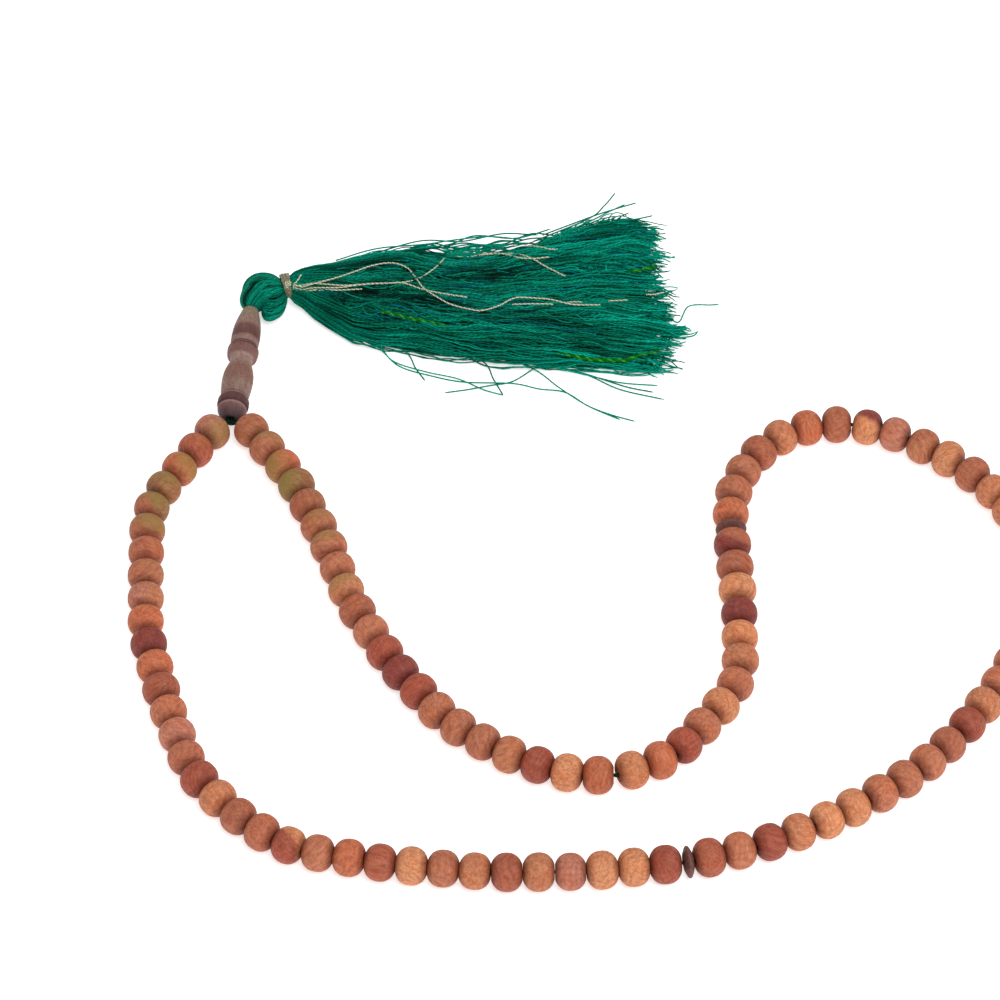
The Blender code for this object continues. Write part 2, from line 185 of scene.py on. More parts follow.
def frame_along(origin, direction, spin=0.0):
    """A matrix at the origin given, with +Z along the direction, turned by spin about it."""
    z_axis = Vector(direction).normalized()
    x_axis = Vector((0.0, 0.0, 1.0)).cross(z_axis)
    x_axis = x_axis.normalized() if x_axis.length > 1e-6 else Vector((1.0, 0.0, 0.0))
    y_axis = z_axis.cross(x_axis)
    turn = Matrix((x_axis, y_axis, z_axis)).transposed().to_4x4()
    return Matrix.Translation(Vector(origin)) @ turn @ Matrix.Rotation(spin, 4, "Z")


def turned_mesh(profile, sides):
    """Points and faces of a closed profile of (height, radius) pairs, turned about Z."""
    heights, radii = np.array(profile, float).T
    angles = np.arange(sides) * TURN / sides
    rings = [np.outer(np.cos(angles), radii), np.outer(np.sin(angles), radii), np.tile(heights, (sides, 1))]
    points = np.stack(rings, axis=2).reshape(-1, 3)
    count = len(profile)
    faces = []
    for side in range(sides):
        here, there = side * count, (side + 1) % sides * count
        for i in range(count):
            j = (i + 1) % count
            faces.append((here + j, there + j, there + i, here + i))
    return points, faces


def smooth_path(points, steps):
    """A Catmull-Rom curve through the points as an array, with this many steps between neighbours."""
    p = np.array([tuple(point) for point in points], float)
    p = np.vstack([2 * p[0] - p[1], p, 2 * p[-1] - p[-2]])
    t = (np.arange(steps) / steps)[:, None]
    parts = []
    for i in range(1, len(p) - 2):
        a, b, c, d = p[i - 1 : i + 3]
        parts.append(
            0.5 * (2 * b + (c - a) * t + (2 * a - 5 * b + 4 * c - d) * t**2 + (3 * b - a - 3 * c + d) * t**3)
        )
    return np.vstack([*parts, p[-2:-1]])


def distances(path):
    """How far along a path each of its points is."""
    return np.concatenate([[0.0], np.cumsum(np.linalg.norm(np.diff(path, axis=0), axis=1))])


def carried_frames(path):
    """Two unit vectors across a path at each of its points, carried along it without twist."""
    tangents = np.gradient(path, axis=0)
    tangents /= np.maximum(np.linalg.norm(tangents, axis=1, keepdims=True), 1e-12)
    start = np.array((0.0, 0.0, 1.0)) if abs(tangents[0, 2]) < 0.9 else np.array((1.0, 0.0, 0.0))
    across = np.zeros_like(path)
    side = np.cross(start, tangents[0])
    for i, tangent in enumerate(tangents):
        side = side - tangent * (side @ tangent)
        side /= max(np.linalg.norm(side), 1e-12)
        across[i] = side
    return across, np.cross(tangents, across)


# Sets each thread's twist out of step with the next one's
GOLDEN_RATIO = (1 + math.sqrt(5)) / 2


def tubes(name, paths, radii, sides=5, tints=None):
    """One mesh of many round threads. Each path has one radius and tint, or one for each of its points."""
    points, faces, along_values, ring_values, tint_values = [], [], [], [], []
    angles = np.arange(sides) * TURN / sides
    cosines, sines = np.cos(angles), np.sin(angles)
    base = 0
    for n, (path, radius) in enumerate(zip(paths, radii)):
        path = np.asarray(path, float)
        count = len(path)
        radius = np.broadcast_to(np.asarray(radius, float), (count,)).copy()
        radius[-1] *= 0.45
        across, upward = carried_frames(path)
        rings = path[:, None, :] + radius[:, None, None] * (
            cosines[None, :, None] * across[:, None, :] + sines[None, :, None] * upward[:, None, :]
        )
        points.append(rings.reshape(-1, 3))
        along_values.append(np.repeat(distances(path) + n * GOLDEN_RATIO * MM, sides))
        ring_values.append(np.tile(np.stack([cosines, sines, np.zeros(sides)], 1), (count, 1)))
        tint = np.broadcast_to(np.asarray(0.5 if tints is None else tints[n], float), (count,))
        tint_values.append(np.repeat(tint, sides))
        i = np.arange(count - 1)[:, None] * sides + base
        j = np.arange(sides)[None, :]
        k = (j + 1) % sides
        quads = np.stack([i + j, i + k, i + sides + k, i + sides + j], axis=2).reshape(-1, 4)
        faces.extend(quads.tolist())
        faces.append([base + s for s in range(sides)][::-1])
        faces.append([base + (count - 1) * sides + s for s in range(sides)])
        base += count * sides
    obj = new_mesh_object(name, np.vstack(points), faces)
    set_attribute(obj, "along", "FLOAT", np.concatenate(along_values))
    set_attribute(obj, "ring", "FLOAT_VECTOR", np.vstack(ring_values))
    set_attribute(obj, "tint", "FLOAT", np.concatenate(tint_values))
    return obj


def twisted(path, plies, offset, pitch):
    """The paths of plies wound round a path, one turn in each pitch."""
    across, upward = carried_frames(path)
    along = distances(path)
    made = []
    for ply in range(plies):
        angle = (TURN * (along / pitch + ply / plies))[:, None]
        made.append(path + offset * (np.cos(angle) * across + np.sin(angle) * upward))
    return made


def resampled(path, spacing):
    """The same path with points this far apart."""
    along = distances(path)
    count = max(2, int(round(along[-1] / spacing)) + 1)
    at = np.linspace(0.0, along[-1], count)
    return np.stack([np.interp(at, along, path[:, i]) for i in range(3)], axis=1)


# ---------------------------------------------------------------- materials


class Nodes:
    """A material's node tree, built with short calls."""

    def __init__(self, name):
        self.material = bpy.data.materials.new(name)
        self.material.use_nodes = True
        self.tree = self.material.node_tree
        self.shader = self.tree.nodes["Principled BSDF"]

    def fill(self, sockets, feeds):
        """Puts a value in each socket named, or links a node's output to it."""
        for name, value in feeds.items():
            if isinstance(value, bpy.types.NodeSocket):
                self.tree.links.new(value, sockets[name])
            else:
                sockets[name].default_value = value

    def shade(self, feeds):
        self.fill(self.shader.inputs, feeds)

    def node(self, kind, output, feeds, **settings):
        """An output of a new node of this kind."""
        node = self.tree.nodes.new("ShaderNode" + kind)
        for name, value in settings.items():
            setattr(node, name, value)
        self.fill(node.inputs, feeds)
        return node.outputs[output]

    def attribute(self, name, output):
        return self.node("Attribute", output, {}, attribute_name=name)

    def position(self):
        return self.node("TexCoord", "Object", {})

    def vector(self, operation, first, second):
        feeds = {0: first, "Scale" if operation == "SCALE" else 1: second}
        return self.node("VectorMath", "Vector", feeds, operation=operation)

    def rotated(self, vector, angles):
        feeds = {"Vector": vector, "Rotation": angles}
        return self.node("VectorRotate", "Vector", feeds, rotation_type="EULER_XYZ")

    def math(self, operation, first, second=0.0):
        return self.node("Math", 0, {0: first, 1: second}, operation=operation)

    def noise(self, vector, scale, detail=3.0, roughness=0.5):
        feeds = {"Vector": vector, "Scale": scale, "Detail": detail, "Roughness": roughness}
        return self.node("TexNoise", 0, feeds)

    def rings(self, vector, scale, distortion, detail_scale):
        feeds = {"Vector": vector, "Scale": scale, "Distortion": distortion, "Detail": 2.0}
        feeds["Detail Scale"] = detail_scale
        return self.node("TexWave", "Fac", feeds, wave_type="RINGS")

    def ramp(self, factor, stops):
        node = self.tree.nodes.new("ShaderNodeValToRGB")
        self.fill(node.inputs, {"Fac": factor})
        elements = node.color_ramp.elements
        while len(elements) < len(stops):
            elements.new(0.5)
        for element, (place, colour) in zip(elements, stops):
            element.position = place
            element.color = (*colour, 1.0)
        return node.outputs["Color"]

    def scaled(self, value, low, high, to_low=0.0, to_high=1.0):
        feeds = {"Value": value, "From Min": low, "From Max": high, "To Min": to_low, "To Max": to_high}
        return self.node("MapRange", "Result", feeds)

    def mix(self, factor, first, second, blend="MIX"):
        """Colours mixed. The node's sockets 6 and 7 and its output 2 are the ones for colours."""
        first, second = ((*c, 1.0) if isinstance(c, tuple) else c for c in (first, second))
        return self.node("Mix", 2, {0: factor, 6: first, 7: second}, data_type="RGBA", blend_type=blend)

    def tinted(self, colour, value, low, high, share, tint):
        """The colour multiplied by a tint, in a share that grows as the value goes from low to high."""
        return self.mix(self.scaled(value, low, high, 0.0, share), colour, tint, "MULTIPLY")

    def bump(self, height, strength, distance):
        feeds = {"Height": height, "Strength": strength, "Distance": distance}
        self.shade({"Normal": self.node("Bump", "Normal", feeds)})


def bead_wood():
    """Unpolished dyed wood: growth rings, fine fibres, pale sanding dust, green dye stains and painted shade towards
    each bead's ends.
    """
    m = Nodes("bead_wood")
    seed = m.attribute("seed", "Vector")
    place = m.vector("ADD", m.rotated(m.position(), m.vector("SCALE", seed, 6.28)), m.vector("SCALE", seed, 0.05))
    rings = m.rings(place, 210.0, 7.0, 1.6)
    fibres = m.noise(m.vector("MULTIPLY", place, (1.0, 1.0, 0.13)), 1900.0, 3.0, 0.6)
    dust = m.noise(place, 3600.0, 2.0, 0.7)
    clouds = m.noise(place, 260.0, 2.0)
    colour = m.attribute("tone", "Color")
    for value, low, high, share, tint in (
        (rings, 0.3, 0.95, 0.32, (0.60, 0.42, 0.34)),
        (fibres, 0.40, 0.66, 0.6, (0.54, 0.38, 0.32)),
        (clouds, 0.42, 0.70, 0.55, (1.12, 0.84, 0.62)),
        (dust, 0.48, 0.30, 0.55, (0.55, 0.40, 0.34)),
        (dust, 0.54, 0.74, 0.6, (1.42, 1.36, 1.26)),
    ):
        colour = m.tinted(colour, value, low, high, share, tint)
    stain = m.math("ADD", m.attribute("stain", "Fac"), m.scaled(clouds, 0.3, 0.7, -0.22, 0.22))
    colour = m.mix(m.scaled(stain, 0.2, 1.0, 0.0, 0.7), colour, (0.225, 0.165, 0.035))
    # Painted shade: each bead darkens towards its ends, where its neighbours shade it.
    colour = m.tinted(colour, m.attribute("end", "Fac"), 0.55, 1.0, 0.75, (0.40, 0.27, 0.25))
    m.shade({"Base Color": colour, "Roughness": m.scaled(fibres, 0.3, 0.7, 0.54, 0.74), "Specular IOR Level": 0.32})
    m.bump(m.math("ADD", fibres, m.math("MULTIPLY", dust, 0.6)), 0.45, 0.00013)
    return m.material


def separator_wood():
    """Dark brown wood with paler fibres."""
    m = Nodes("separator_wood")
    place = m.position()
    fibres = m.noise(m.vector("MULTIPLY", place, (1.0, 0.3, 1.0)), 2100.0, 4.0, 0.6)
    clouds = m.noise(place, 420.0)
    colour = m.ramp(fibres, ((0.3, (0.060, 0.020, 0.017)), (0.55, (0.130, 0.045, 0.034)), (0.8, (0.22, 0.095, 0.07))))
    colour = m.mix(m.scaled(clouds, 0.4, 0.7, 0.0, 0.5), colour, (0.16, 0.06, 0.045))
    m.shade({"Base Color": colour, "Roughness": m.scaled(fibres, 0.3, 0.7, 0.5, 0.72), "Specular IOR Level": 0.35})
    m.bump(fibres, 0.4, 0.0001)
    return m.material


# The imame's colours by height above its mouth, in millimetres
IMAME_BANDS = (
    (0.0, (0.050, 0.028, 0.036)), (1.2, (0.090, 0.048, 0.052)), (2.6, (0.165, 0.085, 0.082)),
    (3.0, (0.290, 0.170, 0.155)), (3.35, (0.260, 0.150, 0.140)), (3.6, (0.045, 0.020, 0.022)),
    (3.8, (0.080, 0.032, 0.032)), (5.5, (0.100, 0.040, 0.040)), (5.75, (0.040, 0.018, 0.018)),
    (5.95, (0.270, 0.165, 0.145)), (6.3, (0.240, 0.140, 0.120)), (6.5, (0.075, 0.033, 0.030)),
    (6.8, (0.235, 0.155, 0.130)), (9.0, (0.245, 0.155, 0.125)), (11.5, (0.210, 0.105, 0.076)),
    (14.0, (0.220, 0.115, 0.084)), (16.3, (0.290, 0.190, 0.155)), (18.3, (0.330, 0.225, 0.190)),
    (18.7, (0.200, 0.100, 0.085)), (20.4, (0.185, 0.080, 0.068)), (20.7, (0.055, 0.024, 0.024)),
    (21.05, (0.050, 0.022, 0.022)), (21.3, (0.235, 0.140, 0.118)), (21.6, (0.095, 0.048, 0.044)),
    (21.8, (0.100, 0.050, 0.046)), (22.1, (0.265, 0.165, 0.135)), (23.3, (0.230, 0.135, 0.110)),
    (23.8, (0.110, 0.045, 0.040)), (26.3, (0.150, 0.066, 0.056)), (27.4, (0.255, 0.155, 0.122)),
    (33.2, (0.255, 0.225, 0.150)),
)
IMAME_LENGTH = 33.2 * MM


def imame_wood():
    """Grey-mauve wood in turned bands, with dark speckled pores and a trace of green at the tassel."""
    m = Nodes("imame_wood")
    place = m.position()
    height = m.node("SeparateXYZ", "Z", {0: place})
    wander = m.math("MULTIPLY", m.math("SUBTRACT", m.noise(place, 500.0), 0.5), 0.0004)
    height = m.math("DIVIDE", m.math("ADD", height, wander), IMAME_LENGTH)
    bands = m.ramp(height, [(mark * MM / IMAME_LENGTH, colour) for mark, colour in IMAME_BANDS])
    streaks = m.noise(m.vector("MULTIPLY", place, (1.0, 1.0, 0.22)), 1500.0, 4.0, 0.65)
    pores = m.noise(m.vector("MULTIPLY", place, (1.0, 1.0, 0.6)), 4300.0, 3.0, 0.7)
    specks = m.noise(place, 4200.0, 2.0, 0.6)
    colour = m.tinted(bands, streaks, 0.35, 0.7, 0.55, (0.58, 0.44, 0.42))
    colour = m.mix(m.scaled(pores, 0.54, 0.64, 0.0, 0.8), colour, (0.100, 0.022, 0.016))
    colour = m.tinted(colour, specks, 0.56, 0.72, 0.5, (1.6, 1.45, 1.3))
    m.shade({"Base Color": colour, "Roughness": m.scaled(streaks, 0.3, 0.7, 0.55, 0.78), "Specular IOR Level": 0.3})
    m.bump(m.math("ADD", streaks, pores), 0.35, 0.00012)
    return m.material


def thread_material(name, colours, roughness=0.6, twist=1.1 * MM, metallic=0.0):
    """Spun thread: a colour for each thread's tint, with its twist as stripes of shade and bump."""
    m = Nodes(name)
    along = m.math("MULTIPLY", m.attribute("along", "Fac"), TURN / twist)
    ring = m.attribute("ring", "Vector")
    stripe = m.math(
        "ADD",
        m.math("MULTIPLY", m.math("SINE", along), m.node("SeparateXYZ", "X", {0: ring})),
        m.math("MULTIPLY", m.math("COSINE", along), m.node("SeparateXYZ", "Y", {0: ring})),
    )
    stripe = m.scaled(stripe, -1.0, 1.0)
    colour = m.ramp(m.attribute("tint", "Fac"), [(i / (len(colours) - 1), c) for i, c in enumerate(colours)])
    fibre = m.noise(m.position(), 2600.0, 3.0, 0.6)
    colour = m.tinted(colour, fibre, 0.35, 0.75, 0.5, (0.45, 0.62, 0.60))
    colour = m.tinted(colour, stripe, 0.7, 0.0, 0.7, (0.30, 0.42, 0.40))
    rough = m.scaled(fibre, 0.3, 0.7, roughness - 0.08, roughness + 0.1)
    m.shade({"Base Color": colour, "Roughness": rough, "Metallic": metallic})
    m.shade({"Specular IOR Level": 0.5 if metallic else 0.04})
    m.bump(stripe, 0.35, 0.00008)
    return m.material


# ---------------------------------------------------------------- camera, light and floor


def make_camera():
    """The camera at the photograph's height and distance."""
    back = Vector((0.0, -math.cos(CAMERA_ELEVATION), math.sin(CAMERA_ELEVATION)))
    data = bpy.data.cameras.new("camera")
    data.lens = CAMERA_LENS
    data.clip_start = 0.05
    data.clip_end = 20.0
    camera = bpy.data.objects.new("camera", data)
    camera.location = CAMERA_TARGET + back * CAMERA_DISTANCE
    camera.rotation_euler = (math.pi / 2 - CAMERA_ELEVATION, 0.0, 0.0)
    bpy.context.scene.collection.objects.link(camera)
    bpy.context.scene.camera = camera


def make_area_light(name, place, size, power):
    """A square soft light that faces the middle of the beads."""
    data = bpy.data.lights.new(name, "AREA")
    data.size = size
    data.energy = power
    light = bpy.data.objects.new(name, data)
    light.location = place
    light.rotation_euler = (-Vector(place)).to_track_quat("-Z", "Y").to_euler()
    bpy.context.scene.collection.objects.link(light)


def make_studio():
    """A white world, three soft lights and a plain pale floor."""
    world = bpy.data.worlds.new("studio")
    world.use_nodes = True
    background = world.node_tree.nodes["Background"]
    background.inputs["Color"].default_value = (1.0, 1.0, 1.0, 1.0)
    background.inputs["Strength"].default_value = 0.62
    bpy.context.scene.world = world
    make_area_light("key_light", (0.15, -0.55, 0.95), 0.5, 6.0)
    make_area_light("fill_light", (0.8, -0.2, 0.7), 0.8, 2.2)
    make_area_light("back_light", (-0.2, 0.9, 0.8), 0.8, 1.6)
    corners = [(x * FLOOR_HALF, y * FLOOR_HALF, 0.0) for x, y in ((-1, -1), (1, -1), (1, 1), (-1, 1))]
    floor = new_mesh_object("floor", corners, ((0, 1, 2, 3),))
    floor.location.z = -0.0001
    m = Nodes("floor_paint")
    grain = m.noise(m.position(), 900.0, 2.0)
    paint = m.ramp(grain, ((0.0, (0.90, 0.90, 0.90)), (1.0, (0.93, 0.93, 0.93))))
    m.shade({"Base Color": paint, "Roughness": 0.9, "Specular IOR Level": 0.1})
    m.shade({"Emission Color": (1.0, 1.0, 1.0, 1.0), "Emission Strength": 0.5})
    floor.data.materials.append(m.material)


# ---------------------------------------------------------------- where the beads are


def node_centre(node):
    low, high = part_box(node)
    return (low + high) / 2


def long_axis(node):
    """The direction in which a node is longest."""
    points = np.array([v.co for v in frame["nodes"][node].data.vertices])
    points = np.unique(np.round(points, 6), axis=0)
    values, vectors = np.linalg.eigh(np.cov((points - points.mean(0)).T))
    return Vector(vectors[:, values.argmax()])


def bead_groups():
    """Every bead solid in order along the cord: (node, first bead, last bead, centre, axis)."""
    groups = []
    for node in frame["nodes"]:
        if not node.startswith("bead"):
            continue
        numbers = [int(word) for word in node.split("_")[1:]]
        body = node_body[node]
        axis = Vector(own_joint[body]["axis"]) if body in own_joint else long_axis(node)
        groups.append([node, numbers[0], numbers[-1], node_centre(node), axis])
    groups.sort(key=lambda group: group[1])
    for i, group in enumerate(groups):
        onwards = groups[min(i + 1, len(groups) - 1)][3] - groups[max(i - 1, 0)][3]
        if group[4].dot(onwards) < 0:
            group[4] = -group[4]
    return groups


def bead_places(groups):
    """Bead number to (centre, axis, node)."""
    places = {}
    for node, first, last, centre, axis in groups:
        for bead in range(first, last + 1):
            places[bead] = (centre + axis * (bead - (first + last) / 2) * BEAD_PITCH, axis, node)
    return places


# ---------------------------------------------------------------- beads, separators and imame

BEAD_SIDES = 44
BEAD_HALF_LENGTH = 3.15 * MM
BEAD_FULL_HALF_LENGTH = 3.36 * MM
BEAD_ROUNDNESS = 2.3
BORE_RADIUS = 0.72 * MM
BEAD_TILT = 0.035


def bead_outline(radius, half_length):
    """A rounded bead's profile with its bore, as (height, radius) pairs."""
    full = BEAD_FULL_HALF_LENGTH * half_length / BEAD_HALF_LENGTH
    turn = np.linspace(0.0, 1.0, 23)
    heights = half_length * np.sin((turn - 0.5) * math.pi)[::-1]
    outline = []
    for height in heights:
        share = 1 - abs(height / full) ** BEAD_ROUNDNESS
        outline.append((height, radius * share ** (1 / BEAD_ROUNDNESS)))
    inset = 0.16 * MM
    lip = [
        (half_length - 0.05 * MM, BORE_RADIUS),
        (half_length, BORE_RADIUS + 0.07 * MM),
        (half_length, outline[0][1] - inset),
    ]
    bottom = [(-height, reach) for height, reach in lip[::-1]]
    inner = [(height, BORE_RADIUS) for height in np.linspace(-half_length * 0.8, half_length * 0.8, 5)]
    return lip + outline + bottom + inner


def dented(points, rng, radius):
    """Slow unevenness that hand work leaves: a little out of round, with shallow flats."""
    across = points[:, :2] / radius
    along = points[:, 2] / radius
    swell = np.ones(len(points))
    for _ in range(5):
        way = rng.normal(size=3)
        way *= rng.uniform(0.8, 2.6) / np.linalg.norm(way)
        phase = rng.uniform(0, TURN)
        swell += 0.0045 * np.sin(across @ way[:2] * 2 + along * way[2] * 2 + phase)
    outside = np.linalg.norm(points[:, :2], axis=1) > BORE_RADIUS * 1.2
    moved = points.copy()
    moved[outside, :2] *= np.minimum(swell, 1.0 + 0.002)[outside, None]
    return moved


def make_wood_bead(bead, centre, axis, node, material):
    """One bead, with its own size, unevenness, tone and stains."""
    rng = np.random.default_rng(1000 + bead)
    radius = BEAD_RADIUS * rng.uniform(0.945, 1.0)
    half_length = BEAD_HALF_LENGTH * rng.uniform(0.98, 1.0)
    points, faces = turned_mesh(bead_outline(radius, half_length), BEAD_SIDES)
    points = dented(points, rng, radius)
    obj = new_mesh_object(f"wood_bead_{bead:02d}", points, faces)
    tilt = Vector(rng.uniform(-BEAD_TILT, BEAD_TILT, 3))
    obj.matrix_world = frame_along(centre, axis + tilt, rng.uniform(0, TURN))
    turn = np.array(obj.matrix_world.to_3x3())
    outwards = points / np.maximum(np.linalg.norm(points, axis=1, keepdims=True), 1e-9) @ turn.T
    tone = np.array(TONES[BEAD_TONES[bead - 1]]) * rng.uniform(0.93, 1.07)
    tones = np.tile(tone, (len(points), 1))
    if bead in SECOND_TONES:
        word, side = SECOND_TONES[bead]
        share = np.clip((outwards @ unit(side) - 0.15) / 0.25, 0, 1)[:, None]
        tones = tones * (1 - share) + np.array(TONES[word]) * share
    stain = np.zeros(len(points))
    if bead in DYE_STAINS:
        side, strength = DYE_STAINS[bead]
        stain = strength * np.clip(outwards @ unit(side) + 0.25, 0, 1)
    set_attribute(obj, "tone", "FLOAT_COLOR", np.hstack([tones, np.ones((len(points), 1))]))
    set_attribute(obj, "seed", "FLOAT_VECTOR", np.tile(rng.uniform(0, 1, 3), (len(points), 1)))
    set_attribute(obj, "stain", "FLOAT", stain)
    # end grows towards the bead's ends, where the wood paints shade between neighbouring beads.
    set_attribute(obj, "end", "FLOAT", np.abs(points[:, 2]) / half_length)
    dressed(obj, material, node_body[node], node)


def make_turned(name, outline, sides, place, material, node):
    """A turned piece from an outline of (height, radius) in millimetres, in place of a CAD node."""
    points, faces = turned_mesh(np.array(outline) * MM, sides)
    obj = new_mesh_object(name, points, faces)
    obj.matrix_world = place
    dressed(obj, material, node_body[node], node)


# Half of a separator's outline, in millimetres: its bore, flat face and worn rim
SEPARATOR_OUTLINE = ((1.0, 0.75), (1.0, 1.35), (0.9, 1.9), (0.5, 2.85), (0.34, 3.12), (0.18, 3.26))


def make_separator(node, axis, material):
    """A lens-shaped disc with a worn rim."""
    mirrored = [(-height, radius) for height, radius in SEPARATOR_OUTLINE[::-1]]
    outline = [*SEPARATOR_OUTLINE, (0.0, 3.3), *mirrored, (0.0, 0.75)]
    place = frame_along(node_centre(node), axis, 0.4)
    make_turned("wood_" + node, outline, 64, place, material, node)


# ---------------------------------------------------------------- cord

CORD_PLIES = 3
CORD_PLY_RADIUS = 0.205 * MM
CORD_PLY_OFFSET = 0.205 * MM
CORD_TWIST = 2.6 * MM
CORD_SPACING = 0.26 * MM
CORD_TINTS = (0.3, 0.5, 0.7)
# At the imame's mouth the loop's two ends run this far apart, in and out
END_OFFSET = 0.55 * MM
END_INSIDE = 6.0 * MM
END_OUTSIDE = 0.8 * MM


def cord_piece(name, points, material, body=None, replaced=None):
    """A length of the green three-ply cord along a smooth path."""
    path = smooth_path(points, 6) if len(points) > 2 else np.array(points)
    plies = twisted(resampled(path, CORD_SPACING), CORD_PLIES, CORD_PLY_OFFSET, CORD_TWIST)
    piece = tubes(name, plies, [CORD_PLY_RADIUS] * CORD_PLIES, 7, CORD_TINTS)
    return dressed(piece, material, body, replaced)


def make_loop_cord(groups, material):
    """The cord through the beads: lengths that ride on one body, and short curved ones across the folds between them,
    on no body.
    """
    mouth = Vector(joints["imame_turn"]["pos_m"])
    axis = Vector(joints["imame_turn"]["axis"])
    side = axis.cross(Vector((0.0, 0.0, 1.0))) * END_OFFSET
    inside, outside = mouth + axis * END_INSIDE, mouth - axis * END_OUTSIDE
    stations = [("strand", [inside - side, outside - side])]
    for node, first, last, centre, group_axis in groups:
        reach = group_axis * (last - first + 1) / 2 * BEAD_PITCH
        stations.append((node_body[node], [centre - reach, centre, centre + reach]))
    for n, (node, after) in enumerate((("separator_1", 33), ("separator_2", 66))):
        spot = 1 + n + next(i for i, group in enumerate(groups) if group[1] > after)
        stations.insert(spot, (node_body[node], [node_centre(node)]))
    stations.append(("strand", [outside + side, inside + side]))
    runs = []
    for body, points in stations:
        holder = own_joint[body]["parent"] if body in own_joint else body
        if not runs or runs[-1][0] != holder:
            runs.append((holder, []))
        runs[-1][1].extend(points)
    for n, (body, points) in enumerate(runs):
        inner = points[min(n, 1) : len(points) - (n < len(runs) - 1)]
        cord_piece(f"cord_length_{n + 1}", inner, material, body, "loop_cord" if n == 0 else None)
    for n, ((body, points), (following, onwards)) in enumerate(zip(runs, runs[1:])):
        piece = cord_piece(f"cord_bend_{n + 1}", [*points[-2:], *onwards[:2]], material)
        reach = Vector((1.2 * MM, 0.0, 0.0))
        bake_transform(piece)


# ---------------------------------------------------------------- imame

IMAME_OUTLINE = (
    (33.2, 1.22), (33.2, 1.62), (33.1, 1.75), (32.7, 1.87), (31.8, 2.10), (30.6, 2.42), (29.2, 2.74), (27.8, 2.96),
    (26.4, 3.09), (25.0, 3.14), (23.4, 3.10), (22.0, 3.02), (21.85, 2.94), (21.75, 2.90), (21.65, 2.96),
    (21.4, 2.99), (21.1, 2.94), (21.0, 2.90), (20.96, 3.34), (20.88, 3.42), (20.6, 3.45), (20.1, 3.42),
    (19.5, 3.36), (19.0, 3.26), (18.75, 3.08), (18.6, 2.76), (18.45, 2.50), (18.15, 2.34), (17.6, 2.29),
    (17.0, 2.35), (16.2, 2.56), (15.3, 2.84), (14.3, 3.11), (13.2, 3.31), (12.0, 3.39), (10.8, 3.37), (9.2, 3.28),
    (8.0, 3.15), (7.0, 3.02), (6.62, 2.95), (6.5, 2.86), (6.38, 2.96), (6.25, 3.10), (6.05, 3.14), (5.9, 3.08),
    (5.78, 2.94), (5.7, 3.08), (5.62, 3.34), (5.4, 3.43), (4.8, 3.45), (4.1, 3.43), (3.86, 3.34), (3.76, 3.08),
    (3.6, 2.98), (3.45, 3.02), (3.3, 3.14), (3.1, 3.20), (2.8, 3.16), (2.2, 2.98), (1.6, 2.72), (1.0, 2.40),
    (0.5, 2.08), (0.15, 1.82), (0.0, 1.62), (0.0, 1.22), (11.0, 1.22), (22.0, 1.22),
)


def make_imame(material):
    """The turned finial with its collars, grooves and belly."""
    place = frame_along(joints["imame_turn"]["pos_m"], joints["imame_turn"]["axis"])
    make_turned("turned_imame", IMAME_OUTLINE, 96, place, material, "imame")


def make_imame_cord(material):
    """The two ends of the cord twisted together up the imame, into the tassel's head."""
    mouth = Vector(joints["imame_turn"]["pos_m"])
    axis = Vector(joints["imame_turn"]["axis"])
    head = Vector(joints["tassel_swing"]["pos_m"])
    path = smooth_path([mouth + axis * 7.0 * MM, mouth + axis * IMAME_LENGTH, head], 20)
    strands = twisted(resampled(path, 0.3 * MM), 2, 0.40 * MM, 5.0 * MM)
    plies = [ply for strand in strands for ply in twisted(strand, CORD_PLIES, 0.19 * MM, CORD_TWIST)]
    piece = tubes("twisted_cord_ends", plies, [0.19 * MM] * len(plies), 7, CORD_TINTS * 2)
    dressed(piece, material, "imame_line", "imame_cord")


# ---------------------------------------------------------------- tassel

HEAD = np.array(joints["tassel_swing"]["pos_m"])
NECK_TURN = math.radians(6)
NECK = np.array((math.cos(NECK_TURN), math.sin(NECK_TURN), 0.0))
THREAD_RADIUS = 0.19 * MM
HEAD_THREAD_RADIUS = 0.15 * MM


def from_head(points):
    """Points in millimetres from the point on the floor under the head's middle, in metres."""
    floor = np.array((HEAD[0], HEAD[1], 0.0))
    return np.array(points, float) * MM + floor


# The head's lumps, in millimetres from the floor under its middle: centre, radii and turn about Z in degrees
HEAD_LUMPS = (
    ((0.3, -0.9, 4.1), (4.5, 4.2, 3.8), 0.0),
    ((-2.1, -3.2, 3.8), (2.55, 2.75, 2.9), 0.0),
    ((2.6, -4.5, 2.9), (2.3, 4.2, 2.75), -21.0),
)
LUMP_BLEND = 14.0


def head_surface(direction):
    """The point of the head's skin in each direction from the middle of its first lump."""
    start = np.array(HEAD_LUMPS[0][0])
    total = np.zeros(len(direction))
    for centre, radii, degrees in HEAD_LUMPS:
        turn = np.array(Matrix.Rotation(math.radians(-degrees), 3, "Z"))
        way = direction @ turn.T / np.array(radii)
        offset = turn @ (start - np.array(centre)) / np.array(radii)
        square = (way**2).sum(axis=1)
        half = way @ offset
        room = half**2 - square * (offset @ offset - 1)
        distance = (np.sqrt(np.maximum(room, 0.0)) - half) / square
        total += np.where(room > 0, np.maximum(distance, 0.0), 0.0) ** LUMP_BLEND
    return start + direction * total[:, None] ** (1 / LUMP_BLEND)


